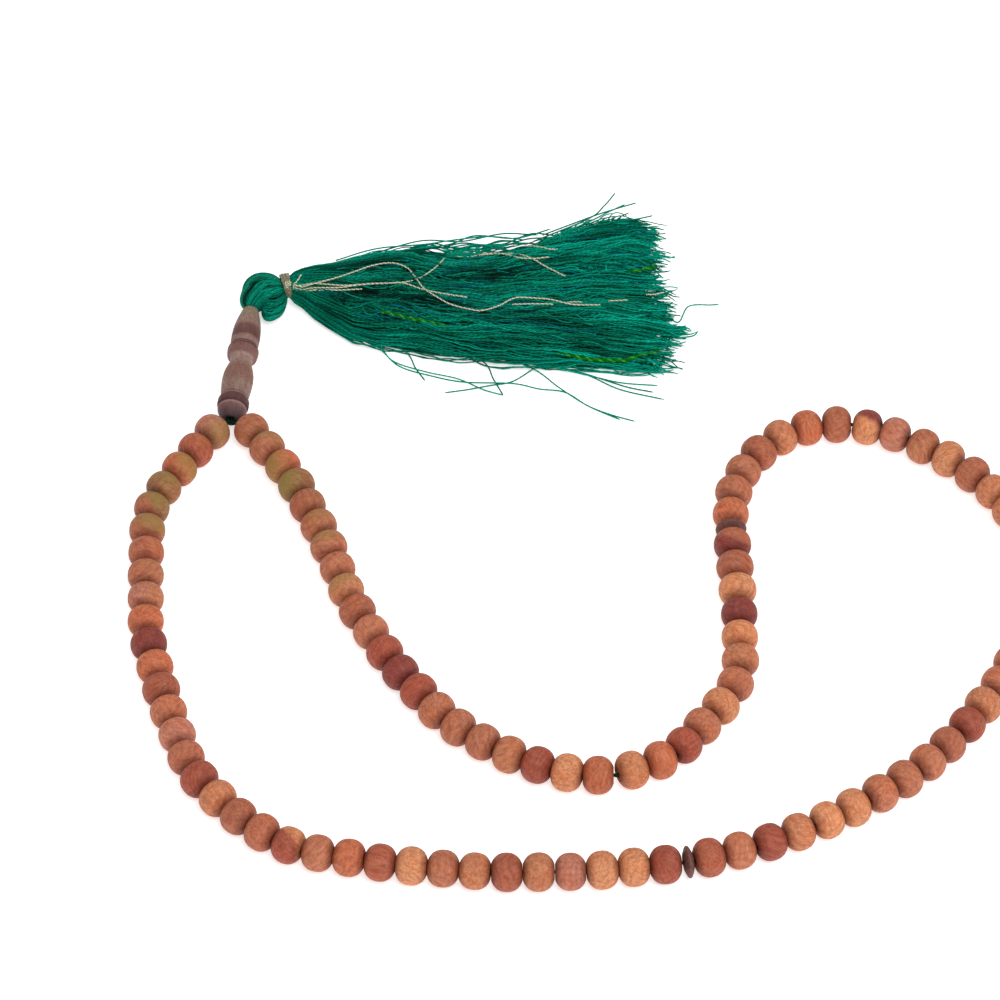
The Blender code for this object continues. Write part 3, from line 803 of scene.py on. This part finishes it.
def hank(rng, start_pole, end_pole, folds, threads, swirl):
    """Folds of thread laid over the head from one pole to the other, as (path, tint), with painted shade darkening
    them in their creases.
    """
    start_pole, end_pole = unit(start_pole), unit(end_pole)
    across = unit(np.cross(start_pole, end_pole))
    outwards = unit(np.cross(across, start_pole - end_pole))
    widths = rng.uniform(0.5, 1.6, folds)
    edges = np.concatenate([[0.0], np.cumsum(widths)]) / widths.sum()
    middle = np.array(HEAD_LUMPS[0][0])
    made = []
    t = np.linspace(0.02, 0.98, 44)
    spread = np.sin(math.pi * t)[:, None]
    for low, high in zip(edges, edges[1:]):
        fold_lift = rng.uniform(-0.04, 0.05)
        fold_bend = rng.uniform(0.0, TURN)
        fold_turn = rng.uniform(-0.3, 0.3)
        count = max(6, int(round(threads * (high - low))))
        for n in range(count):
            inside = 2 * (n + 0.5) / count - 1
            angle = TURN * (low + (high - low) * (n + 0.5) / count)
            bend = fold_turn * np.sin(math.pi * t + fold_bend)[:, None] + swirl * (t[:, None] - 0.5)
            angle_here = angle + bend + 0.03 * waves(rng, t[:, None] * 10, (3.0, 8.0), 0.25)
            way = np.cos(angle_here) * across + np.sin(angle_here) * outwards
            direction = (
                np.cos(math.pi * t / 2)[:, None] ** 2 * start_pole
                + np.sin(math.pi * t / 2)[:, None] ** 2 * end_pole
                + 1.35 * spread * way
            )
            direction /= np.linalg.norm(direction, axis=1, keepdims=True)
            lift = 1 + (0.085 * (1 - inside**2) - 0.055 + fold_lift) * spread + rng.uniform(-0.01, 0.01)
            path = middle + (head_surface(direction) - middle) * lift
            path[:, 2] = np.maximum(path[:, 2], 0.2)
            # Painted shade: threads towards a fold's edges, in its crease, get a darker tint.
            tint = np.clip(rng.normal(0.58, 0.13) - 0.4 * abs(inside) ** 3, 0.03, 0.97)
            made.append((from_head(path), tint))
    return made


def make_core(name, points, faces, tint, material):
    """The closed body of threads under the ones that show, all of one dark tint that paints the shade between the
    threads above it.
    """
    core = new_mesh_object(name, from_head(points), faces)
    for attribute, kind, width in (("along", "FLOAT", 1), ("ring", "FLOAT_VECTOR", 3), ("tint", "FLOAT", 1)):
        set_attribute(core, attribute, kind, np.full((len(points), width), tint))
    return dressed(core, material)


def make_tassel_head(material):
    """The ball of folded threads, which comes down round the imame's end and hangs in a lobe beside it."""
    rng = np.random.default_rng(7)
    paths, tints = zip(*hank(rng, (0.93, 0.28, 0.1), (-0.45, -0.85, -0.25), 15, 300, 0.8))
    piece = tubes("head_threads", paths, [HEAD_THREAD_RADIUS] * len(paths), 5, tints)
    dressed(piece, material, "tassel", "tassel_head")
    polar = np.linspace(0.03, math.pi - 0.03, 40)
    directions, faces = turned_mesh([(math.cos(a), math.sin(a)) for a in polar], 60)
    middle = np.array(HEAD_LUMPS[0][0])
    skin = middle + (head_surface(directions) - middle) * 0.94
    skin[:, 2] = np.maximum(skin[:, 2], 0.25)
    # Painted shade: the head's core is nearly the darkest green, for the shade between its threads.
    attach(make_core("head_core", skin, faces, 0.05, material), "tassel")


BINDING_SLANT = math.radians(150)
BINDING_TURNS = 7
GOLD_PLY_RADIUS = 0.11 * MM
GOLD_TWIST = 0.6 * MM
NECK_ACROSS = unit(np.cross(NECK, (0.0, 0.0, 1.0)))
NECK_UPWARD = np.cross(NECK_ACROSS, NECK)


def round_neck(along, reach, angle):
    """Points these millimetres along the neck and out from it, at these angles round it."""
    out = np.cos(angle)[:, None] * NECK_ACROSS + np.sin(angle)[:, None] * NECK_UPWARD
    return HEAD + MM * (np.reshape(along, (-1, 1)) * NECK + np.reshape(reach, (-1, 1)) * out)


def make_binding(material, knot_material):
    """Gold thread wound round the neck, tied in a small knot on the near upper side."""
    rng = np.random.default_rng(11)
    t = np.linspace(0.0, 1.0, 40 * BINDING_TURNS)
    angle = TURN * BINDING_TURNS * t
    reach = 2.32 + 0.18 * np.sin(math.pi * t) + 0.05 * np.sin(angle * 0.37)
    wound = round_neck(4.45 + 1.45 * t - 0.55 * np.cos(angle - BINDING_SLANT), reach, angle)
    wound[:, 2] = np.maximum(wound[:, 2], 0.2 * MM)
    s = np.linspace(0.0, TURN, 60)
    slanted = [round_neck(5.2 + 0.75 * np.sin(s + offset), 2.62, s) for offset in (0.0, 0.9, 2.1)]
    knot_place = HEAD + 5.7 * MM * NECK + 2.7 * MM * unit((0.0, -0.8, 1.0))
    s = np.linspace(0.0, TURN * 0.9, 26)[:, None]
    loops = []
    for _ in range(5):
        first, second = unit(rng.normal(size=3)), unit(rng.normal(size=3))
        loops.append(knot_place + 0.62 * MM * (np.cos(s) * first + np.sin(s) * second))
    for name, cores, paint, replaced in (
        ("binding_thread", [wound, *slanted], material, "tassel_binding"),
        ("binding_knot", loops, knot_material, None),
    ):
        paths = [ply for core in cores for ply in twisted(resampled(core, 0.16 * MM), 2, 0.09 * MM, 0.9 * MM)]
        # Every other ply takes the light end of its colours; on the knot's gold that end is a painted highlight.
        tints = [0.2 + 0.6 * (n % 2) for n in range(len(paths))]
        piece = tubes(name, paths, [GOLD_PLY_RADIUS] * len(paths), 5, tints)
        dressed(piece, paint, "tassel", replaced)


# The skirt at distances from the head's middle: (distance, low y, high y, base, top), in millimetres
SKIRT_SECTIONS = (
    (5.0, -0.9, 2.0, 3.3, 6.1), (5.9, -1.2, 2.3, 3.0, 6.4), (6.5, -2.1, 3.4, 2.2, 7.1), (9.0, -3.4, 4.9, 1.5, 7.7),
    (11.5, -6.0, 6.0, 0.9, 8.0), (15.0, -8.8, 7.2, 0.6, 8.2), (20.0, -12.6, 9.6, 0.5, 8.2),
    (26.0, -15.0, 11.6, 0.5, 8.2), (33.0, -16.2, 12.6, 0.5, 8.0), (40.0, -17.8, 10.6, 0.5, 7.6),
    (47.0, -18.6, 11.2, 0.5, 7.2), (54.0, -19.4, 12.6, 0.5, 6.9), (63.0, -20.9, 17.2, 0.5, 6.4),
    (72.0, -21.6, 21.4, 0.5, 5.6), (81.0, -22.8, 24.0, 0.5, 4.8), (91.0, -23.2, 23.6, 0.5, 3.6),
)
# Where the threads end: (place across the fan, distance), from its near edge to its far edge
SKIRT_ENDS = (
    (-1.0, 88.6), (-0.9, 91.0), (-0.72, 90.2), (-0.55, 92.6), (-0.43, 93.4), (-0.36, 89.4), (-0.26, 91.4),
    (-0.08, 91.0), (0.0, 92.2), (0.1, 89.6), (0.19, 86.0), (0.3, 89.0), (0.46, 89.2), (0.66, 86.8), (0.82, 88.8),
    (1.0, 88.0),
)
LOCKS = 100
LOCK_THREADS = 9
SKIRT_POINTS = 88
SKIRT_LAYERS = 6


def skirt_section(reach):
    """The skirt's low and high edges, base and top at a distance from the head."""
    sections = np.array(SKIRT_SECTIONS)
    return [np.interp(reach, sections[:, 0], sections[:, i]) for i in range(1, 5)]


def skirt_end(across):
    return np.interp(across, *zip(*SKIRT_ENDS))


def crown(across):
    """How high the pile stands at a place across the fan, as a share of its height in the middle."""
    return np.maximum(1 - np.abs(across) ** 3.0, 0.02) ** 0.6


def skirt_point(reach, across, height):
    """A point of the skirt, from its distance, its place across the fan and its height in the pile."""
    low, high, base, top = skirt_section(reach)
    y = (low + high) / 2 + across * (high - low) / 2
    return np.stack([reach, y, base + (top - base) * crown(across) * height], axis=-1)


def waves(rng, reach, pitches, slope):
    """Three sine waves of random pitch, whose sizes are a share of their pitch."""
    made = 0.0
    for _ in range(3):
        pitch = rng.uniform(*pitches)
        size = pitch * slope * rng.uniform(0.3, 1.0)
        made = made + size * np.sin(TURN * reach / pitch + rng.uniform(0, 6.28))
    return made


def on_skirt(x, y):
    """The height of the skirt's top at a point."""
    low, high, base, top = skirt_section(x)
    across = np.clip((y - (low + high) / 2) / ((high - low) / 2), -0.98, 0.98)
    return base + (top - base) * crown(across)


# Patches of painted shade on the skirt: middle (x, y), half widths and how much darker the threads are painted
SKIRT_PAINTED_SHADE_PATCHES = (
    ((31.0, 4.2), (6.0, 2.0), 0.26),
    ((22.0, -5.0), (8.0, 3.0), 0.42),
    ((36.0, -7.5), (12.0, 3.6), 0.48),
    ((50.0, 2.0), (9.0, 3.4), 0.36),
    ((61.0, -11.0), (10.0, 2.4), 0.34),
    ((70.0, -16.0), (9.0, 1.8), 0.22),
)


def skirt_shade(x, y):
    """How far a thread's tint moves at a point: painted shade in dark patches, painted light along the near edge,
    painted shade before the middle and painted light towards the end, and slow drifts lighter and darker between
    them.
    """
    shade = 0.05 * np.sin(x / 7.0 + y / 2.3) + 0.04 * np.sin(x / 3.1 - y / 1.4)
    # Painted shade before 50 mm and painted light towards the end.
    shade = shade + np.interp(x, (50.0, 82.0), (-0.05, 0.09))
    # Painted light: a lighter band along the near edge.
    shade = shade + 0.17 * np.exp(-(((y - skirt_section(x)[0]) / 3.2) ** 2))
    # Painted shade in each patch.
    for (middle_x, middle_y), (half_x, half_y), depth in SKIRT_PAINTED_SHADE_PATCHES:
        shade = shade - depth * np.exp(-(((x - middle_x) / half_x) ** 2) - ((y - middle_y) / half_y) ** 2)
    return shade


def skirt_threads(rng):
    """The path, tint and radius of every thread, gathered in locks that end in tufts."""
    made = []
    order = rng.permutation(LOCKS)
    for lock in range(LOCKS):
        across = -0.97 + 1.94 * (order[lock] + rng.uniform(0.0, 1.0)) / LOCKS
        height = rng.uniform(0.05, 1.0) ** 0.8
        end = skirt_end(across) + rng.normal(-2.2, 1.2)
        lock_phase = rng.uniform(0, 1e3)
        lock_tint = rng.normal(0.0, 0.09)
        lock_seed = int(rng.integers(1 << 30))
        for _ in range(LOCK_THREADS):
            last = end + rng.normal(0.0, 1.3) - (rng.uniform() < 0.25) * rng.uniform(1.0, 8.0)
            reach = np.linspace(5.2, last, SKIRT_POINTS)
            loose = np.clip((reach - 7.0) / 18.0, 0, 1)
            middle = np.exp(-(((reach - 40.0) / 22.0) ** 2))
            shared = np.random.default_rng(lock_seed)
            path = skirt_point(reach, np.full(SKIRT_POINTS, across), height)
            path[:, 1] += loose * waves(shared, reach + lock_phase, (18.0, 45.0), 0.022)
            path[:, 2] += loose * waves(shared, reach + lock_phase, (18.0, 45.0), 0.010)
            stations = (5.0, 12.0, 35.0, 78.0, end - 4.0, end + 1.0)
            width = np.interp(reach, stations, (0.2, 0.95, 1.4, 1.45, 1.35, 0.85))
            turn = rng.uniform(0, TURN)
            apart = math.sqrt(rng.uniform(0.0, 1.0))
            path[:, 1] += width * apart * math.cos(turn)
            path[:, 2] += 0.8 * width * apart * math.sin(turn)
            path[:, 1] += loose * (0.6 + middle) * waves(rng, reach, (9.0, 22.0), 0.013)
            path[:, 2] += loose * (0.5 + middle) * waves(rng, reach, (9.0, 22.0), 0.007)
            path[:, 1] += loose * waves(rng, reach, (2.6, 6.0), 0.020)
            path[:, 2] += loose * waves(rng, reach, (2.6, 6.0), 0.010)
            tip = np.clip((reach - last + 5.0) / 5.0, 0, 1) ** 2
            path[:, 1] += tip * rng.normal(0.0, 0.9)
            path[:, 2] = np.maximum(path[:, 2] - tip * rng.uniform(-0.3, 0.8), 0.2)
            # Painted shade: threads lower in the pile get a darker tint; skirt_shade adds its painted shade and
            # light, and the tips are lighter.
            tone = 0.36 + 0.22 * height + lock_tint + rng.normal(0, 0.13)
            tint = np.clip(tone + skirt_shade(path[:, 0], path[:, 1]) + 0.12 * tip, 0.02, 0.98)
            radius = THREAD_RADIUS * rng.uniform(0.8, 1.15) * np.interp(reach, (5.0, 14.0, 95.0), (0.6, 1.0, 1.0))
            made.append((from_head(path), tint, radius))
    return made


def free_threads(rng, count):
    """Curly threads that have come loose on top of the skirt."""
    made = []
    for _ in range(count):
        across = rng.uniform(-0.8, 0.85)
        first = rng.uniform(15.0, 48.0)
        last = min(first + rng.uniform(16.0, 46.0), skirt_end(across) + 1.0)
        reach = np.linspace(first, last, 60)
        drift = across + np.linspace(0.0, rng.normal(0.0, 0.16), 60)
        path = skirt_point(reach, np.clip(drift, -0.95, 0.95), 1.0)
        rise = np.sin(math.pi * np.linspace(0.05, 1.0, 60)) ** 0.5
        path[:, 1] += waves(rng, reach, (7.0, 20.0), 0.042) * rise
        path[:, 0] += waves(rng, reach, (9.0, 20.0), 0.02) * rise
        path[:, 2] += 0.35 + waves(rng, reach, (5.0, 14.0), 0.008)
        made.append(from_head(path))
    return made


def curled(rng, start, heading, length, curl):
    """A loose thread's course over the floor: it sets off on a heading and bends back to the skirt's run."""
    count = max(8, int(length / 0.35))
    along = np.linspace(0.0, length, count)
    angle = heading * np.exp(-along / (0.5 * length)) + waves(rng, along, (3.0, 10.0), curl)
    steps = (np.cos(angle[:-1]), np.sin(angle[:-1]))
    return [at + np.concatenate([[0.0], np.cumsum(step) * along[1]]) for at, step in zip(start, steps)]


# Where loose threads lie in a tangle: least and greatest x, least and greatest y, and how many
TANGLES = (
    ((9.0, 30.0), (-12.0, 2.0), 60),
    ((16.0, 42.0), (-11.0, -1.0), 60),
    ((34.0, 60.0), (-12.0, -3.0), 44),
    ((36.0, 58.0), (1.0, 8.5), 60),
    ((26.0, 74.0), (-16.0, 12.0), 70),
    ((60.0, 80.0), (2.0, 17.0), 46),
)


def tangled_threads(rng):
    """(path, painted shade and light from skirt_shade) of the curly threads that lie across the others on top of the
    skirt, most where it is tangled.
    """
    made = []
    for (least_x, greatest_x), (least_y, greatest_y), count in TANGLES:
        for _ in range(count):
            first = rng.uniform(least_x, greatest_x)
            low, high, _, _ = skirt_section(first)
            start = (first, np.clip(rng.uniform(least_y, greatest_y), low + 2.5, high - 2.0))
            sharp = 1.1 if rng.uniform() < 0.05 else 0.36
            length = min(rng.uniform(6.0, 24.0), 86.0 - start[0])
            fan = math.atan2(start[1] + 1.5, start[0] + 6.0)
            x, y = curled(rng, start, fan + rng.normal(0.0, sharp), length, 0.06)
            low, high, _, _ = skirt_section(x)
            y = np.clip(y, low + 0.8, high + 1.0)
            height = on_skirt(x, y) + rng.uniform(-0.2, 0.45) + waves(rng, x, (4.0, 12.0), 0.012)
            height -= 3.0 * np.clip(y - high + 0.6, 0.0, 1.0)
            path = np.stack([x, y, np.maximum(height, 0.25)], axis=1)
            made.append((from_head(path), skirt_shade(x, y)))
    return made


def fringe_hairs(rng):
    """Short fine hairs that turn up at the far edge near the end, and curl out past the end."""
    made = []
    for _ in range(60):
        x = rng.uniform(64.0, 79.0)
        _, high, base, top = skirt_section(x)
        heading = rng.uniform(0.35, 1.15)
        length = rng.uniform(3.0, 7.5)
        path_x, path_y = curled(rng, (x, high - rng.uniform(0.5, 3.5)), heading, length, 0.05)
        rise = base + 0.6 * (top - base) + np.linspace(0.0, rng.uniform(-1.5, 1.2), len(path_x))
        made.append(from_head(np.stack([path_x, path_y, rise], axis=1)))
    for _ in range(80):
        across = rng.uniform(-0.97, 0.85)
        end = skirt_end(across) - rng.uniform(3.5, 6.5)
        low, high, base, top = skirt_section(end)
        start = (end, (low + high) / 2 + across * (high - low) / 2)
        x, y = curled(rng, start, rng.normal(0.1, 0.4), rng.uniform(3.5, 7.0), 0.06)
        fall = np.linspace(base + rng.uniform(0.4, 0.9) * (top - base), rng.uniform(0.3, 1.6), len(x))
        made.append(from_head(np.stack([x, y, fall], axis=1)))
    return made


def edge_wisps(rng, count):
    """Threads that stand off the far edge of the skirt with gaps between them."""
    made = []
    for _ in range(count):
        first = rng.uniform(29.0, 46.0)
        last = first + rng.uniform(10.0, 22.0)
        reach = np.linspace(first, last, 50)
        _, high, base, top = skirt_section(reach)
        out = rng.uniform(0.5, 4.6) * np.sin(math.pi * np.linspace(0.0, rng.uniform(0.7, 1.0), 50))
        y = high - 0.9 + out + waves(rng, reach, (7.0, 17.0), 0.02)
        z = base + 0.45 * (top - base) + waves(rng, reach, (8.0, 20.0), 0.012)
        made.append(from_head(np.stack([reach, y, z], axis=1)))
    return made


# Threads that stand apart, from the head's middle in millimetres: (x, y) points, and the first and last height
STRAY_THREADS = (
    ([(18.0, -8.5), (25.3, -14.1), (29.0, -19.5), (36.1, -22.5), (43.3, -24.4), (48.9, -27.4),
      (53.2, -28.8)], 2.0, 0.3),
    ([(25.0, -12.0), (31.8, -16.5), (34.0, -21.0), (36.1, -24.4)], 1.5, 0.3),
    ([(42.0, -16.0), (48.9, -19.5), (51.1, -24.4), (53.2, -28.8)], 1.5, 0.3),
    ([(66.0, -17.5), (60.3, -21.5), (55.3, -25.4), (50.4, -26.4), (45.4, -27.4), (40.4, -28.1)], 1.6, 0.3),
    ([(18.0, -10.0), (25.3, -15.0), (30.4, -21.0), (37.6, -23.9), (44.7, -25.6), (55.3, -25.9), (61.0, -27.4),
      (66.7, -28.3), (71.6, -32.2), (76.5, -34.7), (81.8, -36.6)], 1.6, 0.3),
    ([(50.0, -17.0), (59.6, -21.5), (65.3, -26.9), (71.6, -32.2), (78.6, -36.1)], 1.4, 0.3),
    ([(54.0, -17.5), (64.6, -21.0), (71.7, -23.4), (78.7, -27.4), (88.3, -30.1)], 1.6, 0.3),
    ([(60.0, -19.5), (71.0, -23.0), (80.0, -26.6), (86.0, -27.9)], 1.4, 0.3),
    ([(60.0, -20.0), (72.0, -23.6), (79.0, -25.4), (87.0, -25.9)], 1.4, 0.3),
    ([(80.0, -4.0), (89.1, -6.6), (92.0, -7.6), (94.3, -2.5), (99.3, -1.8), (101.0, -1.3)], 2.0, 0.6),
    ([(80.0, -12.5), (89.7, -12.6), (94.8, -11.6), (96.2, -9.6)], 2.0, 0.6),
    ([(60.0, 15.0), (72.2, 22.1), (75.9, 26.3), (78.5, 30.5)], 4.0, 4.0),
    ([(62.0, 15.0), (72.2, 21.1), (76.6, 24.2), (80.6, 26.8)], 4.0, 4.0),
    ([(62.0, 17.0), (73.7, 23.2), (79.5, 25.8), (83.2, 27.3)], 4.0, 4.0),
    ([(66.0, 18.0), (78.0, 21.1), (83.1, 22.1), (86.8, 23.2)], 4.0, 4.0),
    ([(16.0, 7.5), (25.0, 11.3), (35.8, 12.8), (43.1, 14.4), (50.3, 15.4), (58.0, 14.5)], 5.5, 5.0),
    ([(25.0, 10.5), (35.0, 14.2), (44.0, 14.0), (53.0, 16.4), (61.0, 16.0)], 5.0, 5.0),
    ([(30.0, 11.0), (41.0, 13.0), (47.0, 15.8), (56.0, 15.0), (64.0, 18.0)], 5.0, 5.0),
)
# Threads that lie on the skirt: their (x, y) points and how far above its top they are
GOLD_THREADS = (
    ([(6.8, -1.5), (11.3, -2.5), (17.9, -3.6), (24.4, -3.1), (31.4, -2.5), (35.7, -0.3), (39.2, 4.5),
      (40.9, 11.5)], 0.7),
    ([(6.8, -1.5), (10.8, -2.8), (15.1, -2.2), (20.0, 0.0), (24.3, 2.2), (28.6, 3.2), (31.9, 1.7), (33.8, -1.2),
      (35.7, -4.5), (38.5, -6.9), (41.5, -8.9), (45.3, -10.0), (48.4, -10.4), (52.2, -9.0), (55.2, -6.8),
      (57.4, -6.3), (63.4, -6.5), (66.9, -7.3), (69.4, -7.6), (74.6, -7.2)], 1.1),
    ([(6.8, -1.6), (11.4, -3.3), (16.8, -4.1), (22.2, -3.3), (27.6, -2.9), (30.9, -2.6), (35.2, -4.3), (39.5, -5.4),
      (45.3, -6.3)], 0.6),
    ([(6.8, -1.4), (7.8, -1.0), (8.7, 0.3)], 0.7),
    ([(6.8, -1.7), (11.4, -3.6), (16.8, -4.6), (22.2, -4.5)], 0.45),
    ([(42.6, 10.2), (46.1, 10.6), (50.0, 10.0), (53.5, 8.4), (56.6, 6.4), (60.0, 6.0), (63.5, 6.6)], 1.4),
    ([(47.8, 9.8), (52.2, 9.4), (56.6, 8.2), (60.0, 5.9), (62.6, 3.6), (66.9, 0.8)], 1.2),
    ([(57.9, 12.6), (60.9, 11.0), (63.5, 9.7), (65.3, 9.6)], 1.3),
    ([(55.2, -8.0), (59.5, -7.6), (64.3, -7.4)], 0.6),
    ([(67.3, -6.6), (69.0, -6.3), (70.7, -6.2)], 0.6),
    ([(76.4, -5.3), (78.5, -5.0), (80.7, -4.6)], 0.5),
    ([(84.8, -2.6), (86.8, -2.3), (88.8, -1.4)], 0.6),
)
LIME_THREADS = (
    ([(26.6, -10.3), (30.9, -11.4), (34.2, -12.2), (37.4, -13.0), (40.7, -14.1), (43.4, -15.2)], 0.6),
    ([(65.1, -19.1), (67.6, -19.5), (70.2, -20.0), (73.2, -20.5), (76.6, -20.7), (80.0, -20.7), (82.6, -19.7),
      (85.2, -19.1), (87.4, -18.6)], 0.6),
    ([(81.0, 4.0), (83.0, 4.5), (86.8, 6.3)], 0.6),
)


def placed(route, lift):
    """The path in metres of a thread that lies this far above the skirt's top."""
    path = smooth_path([(x, y, 0.0) for x, y in route], 9)
    path[:, 2] = on_skirt(path[:, 0], path[:, 1]) + lift
    return from_head(path)


def strayed(route, first_height, last_height):
    """The path in metres of a thread beside the skirt, which falls from one height to another."""
    heights = np.linspace(first_height, last_height, len(route))
    return from_head(smooth_path([(x, y, z) for (x, y), z in zip(route, heights)], 9))


def bent_with_skirt(piece):
    """Bakes a piece's place into its mesh."""
    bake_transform(piece)


def thread_piece(name, paths, radii, tints, material, sides=5):
    """A piece of threads, with its place baked into its mesh."""
    piece = dressed(tubes(name, paths, radii, sides, tints), material)
    bent_with_skirt(piece)
    return piece


def make_skirt_core(material):
    """The closed mass of threads under the ones that show, in a dark tint that paints the shade between them."""
    columns, rows = 33, 60
    across = np.linspace(-0.97, 0.97, columns)
    ends = skirt_end(across) - 6.0
    upper, lower = [], []
    for share in np.linspace(0.0, 1.0, rows):
        reach = 6.0 + share * (ends - 6.0)
        _, _, base, top = skirt_section(reach)
        floor = skirt_point(reach, across, 0.0)
        crest = 0.62 * crown(across) + 0.05 * np.sin(across * 60.0 + share * 9.0)
        fade = np.interp(share, (0.0, 0.9, 1.0), (1.0, 1.0, 0.25))
        depth = np.outer((top - base) * np.maximum(crest * fade, 0.03), (0.0, 0.0, 1.0))
        upper.append(floor + depth)
        lower.append(floor + 0.5 * depth)
    points = np.vstack(upper + lower)
    faces = []
    count = columns * rows
    for row in range(rows - 1):
        for column in range(columns - 1):
            a = row * columns + column
            faces.append((a, a + columns, a + columns + 1, a + 1))
            faces.append((count + a, count + a + 1, count + a + columns + 1, count + a + columns))
        for a, b in ((row * columns, (row + 1) * columns), ((row + 2) * columns - 1, (row + 1) * columns - 1)):
            faces.append((a, count + a, count + b, b))
    for column in range(columns - 1):
        a, b = column, count - columns + column
        faces.append((a, a + 1, count + a + 1, count + a))
        faces.append((b, count + b, count + b + 1, b + 1))
    # Painted shade: the skirt's core takes a dark tint.
    bent_with_skirt(make_core("skirt_core", points, faces, 0.1, material))


def make_skirt(green, teal, gold, lime):
    """The skirt's threads in layers, the threads that stand apart, and the gold and lime ones on top."""
    rng = np.random.default_rng(21)
    threads = skirt_threads(rng)
    for layer in range(SKIRT_LAYERS):
        paths, tints, radii = zip(*threads[layer::SKIRT_LAYERS])
        piece = thread_piece(f"skirt_threads_{layer + 1}", paths, radii, tints, green, 4)
        if layer == 0:
            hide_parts("tassel_skirt")
    make_skirt_core(green)
    wisps = edge_wisps(rng, 34) + [strayed(*thread) for thread in STRAY_THREADS]
    tangle, shades = zip(*tangled_threads(rng))
    blue = [path + (0.0, 0.0, 0.2 * MM) for path in tangle if rng.uniform() < 0.14]
    loose = free_threads(rng, 60)
    # The tangled threads' tints carry four fifths of skirt_shade's painted shade and light.
    shades = {"loose_threads": [0.0] * len(loose) + [0.8 * shade for shade in shades]}
    groups = (
        ("loose_threads", loose + list(tangle), THREAD_RADIUS * 0.85, (0.38, 0.88), green),
        ("teal_threads", free_threads(rng, 10) + blue, THREAD_RADIUS, (0.1, 0.9), teal),
        ("stray_threads", wisps, THREAD_RADIUS * 0.95, (0.5, 0.85), green),
        ("fringe_hairs", fringe_hairs(rng), THREAD_RADIUS * 0.75, (0.45, 0.95), green),
    )
    for name, paths, size, (least, greatest), material in groups:
        tints = rng.uniform(least, greatest, len(paths))
        tints = [tint + shade for tint, shade in zip(tints, shades.get(name, [0.0] * len(paths)))]
        thread_piece(name, paths, [size] * len(paths), tints, material)
    for name, routes, size, material, slot in (
        ("gold_threads", GOLD_THREADS, 0.108 * MM, gold, "binding_gold"),
        ("lime_threads", LIME_THREADS, 0.27 * MM, lime, "tassel_green"),
    ):
        plies = []
        for thread in routes:
            plies += twisted(resampled(placed(*thread), 0.2 * MM), 2, size * 0.8, size * 9)
        # Every other ply takes the light end of its colours; on the gold threads that end is a painted highlight.
        tints = [0.15 + 0.7 * (n % 2) for n in range(len(plies))]
        thread_piece(name, plies, [size] * len(plies), tints, material, 6)


# ---------------------------------------------------------------- the whole


def main():
    bpy.context.scene.view_settings.view_transform = "Standard"
    make_camera()
    make_studio()
    groups = bead_groups()
    # The cord's greens are its own dark green made darker still, as painted shade where it shows between the beads
    # and at the imame.
    cord_green = thread_material("cord_green", ((0.001, 0.010, 0.005), (0.002, 0.026, 0.012), (0.006, 0.065, 0.028)))
    make_loop_cord(groups, cord_green)
    make_imame_cord(cord_green)
    wood = bead_wood()
    for bead, (centre, axis, node) in sorted(bead_places(groups).items()):
        make_wood_bead(bead, centre, axis, node, wood)
    dark = separator_wood()
    centres = {group[0]: group[3] for group in groups}
    for node, before, following in (
        ("separator_1", "beads_31_33", "beads_34_35"),
        ("separator_2", "bead_66", "beads_67_69"),
    ):
        make_separator(node, centres[following] - centres[before], dark)
    make_imame(imame_wood())
    emerald = thread_material(
        "tassel_emerald",
        ((0.0, 0.012, 0.008), (0.0, 0.060, 0.036), (0.0, 0.165, 0.098), (0.0, 0.30, 0.195), (0.0, 0.44, 0.31)),
    )
    teal = thread_material("tassel_teal", ((0.0, 0.07, 0.08), (0.0, 0.12, 0.135), (0.0, 0.20, 0.22)))
    # The gold's near-white end colour is a painted highlight on top of its pale gold, which every other ply takes.
    gold_colours_and_painted_highlight = ((0.36, 0.32, 0.15), (0.64, 0.62, 0.40), (0.95, 0.96, 0.78))
    gold = thread_material("gold_thread", gold_colours_and_painted_highlight, 0.4, GOLD_TWIST, 0.15)
    dull_shades = ((0.20, 0.15, 0.08), (0.33, 0.26, 0.15), (0.46, 0.39, 0.25))
    dull_gold = thread_material("dull_gold_thread", dull_shades, 0.45, GOLD_TWIST, 0.2)
    lime = thread_material("lime_thread", ((0.0, 0.11, 0.005), (0.008, 0.21, 0.010), (0.045, 0.33, 0.020)))
    make_tassel_head(emerald)
    make_binding(dull_gold, gold)
    make_skirt(emerald, teal, gold, lime)


main()
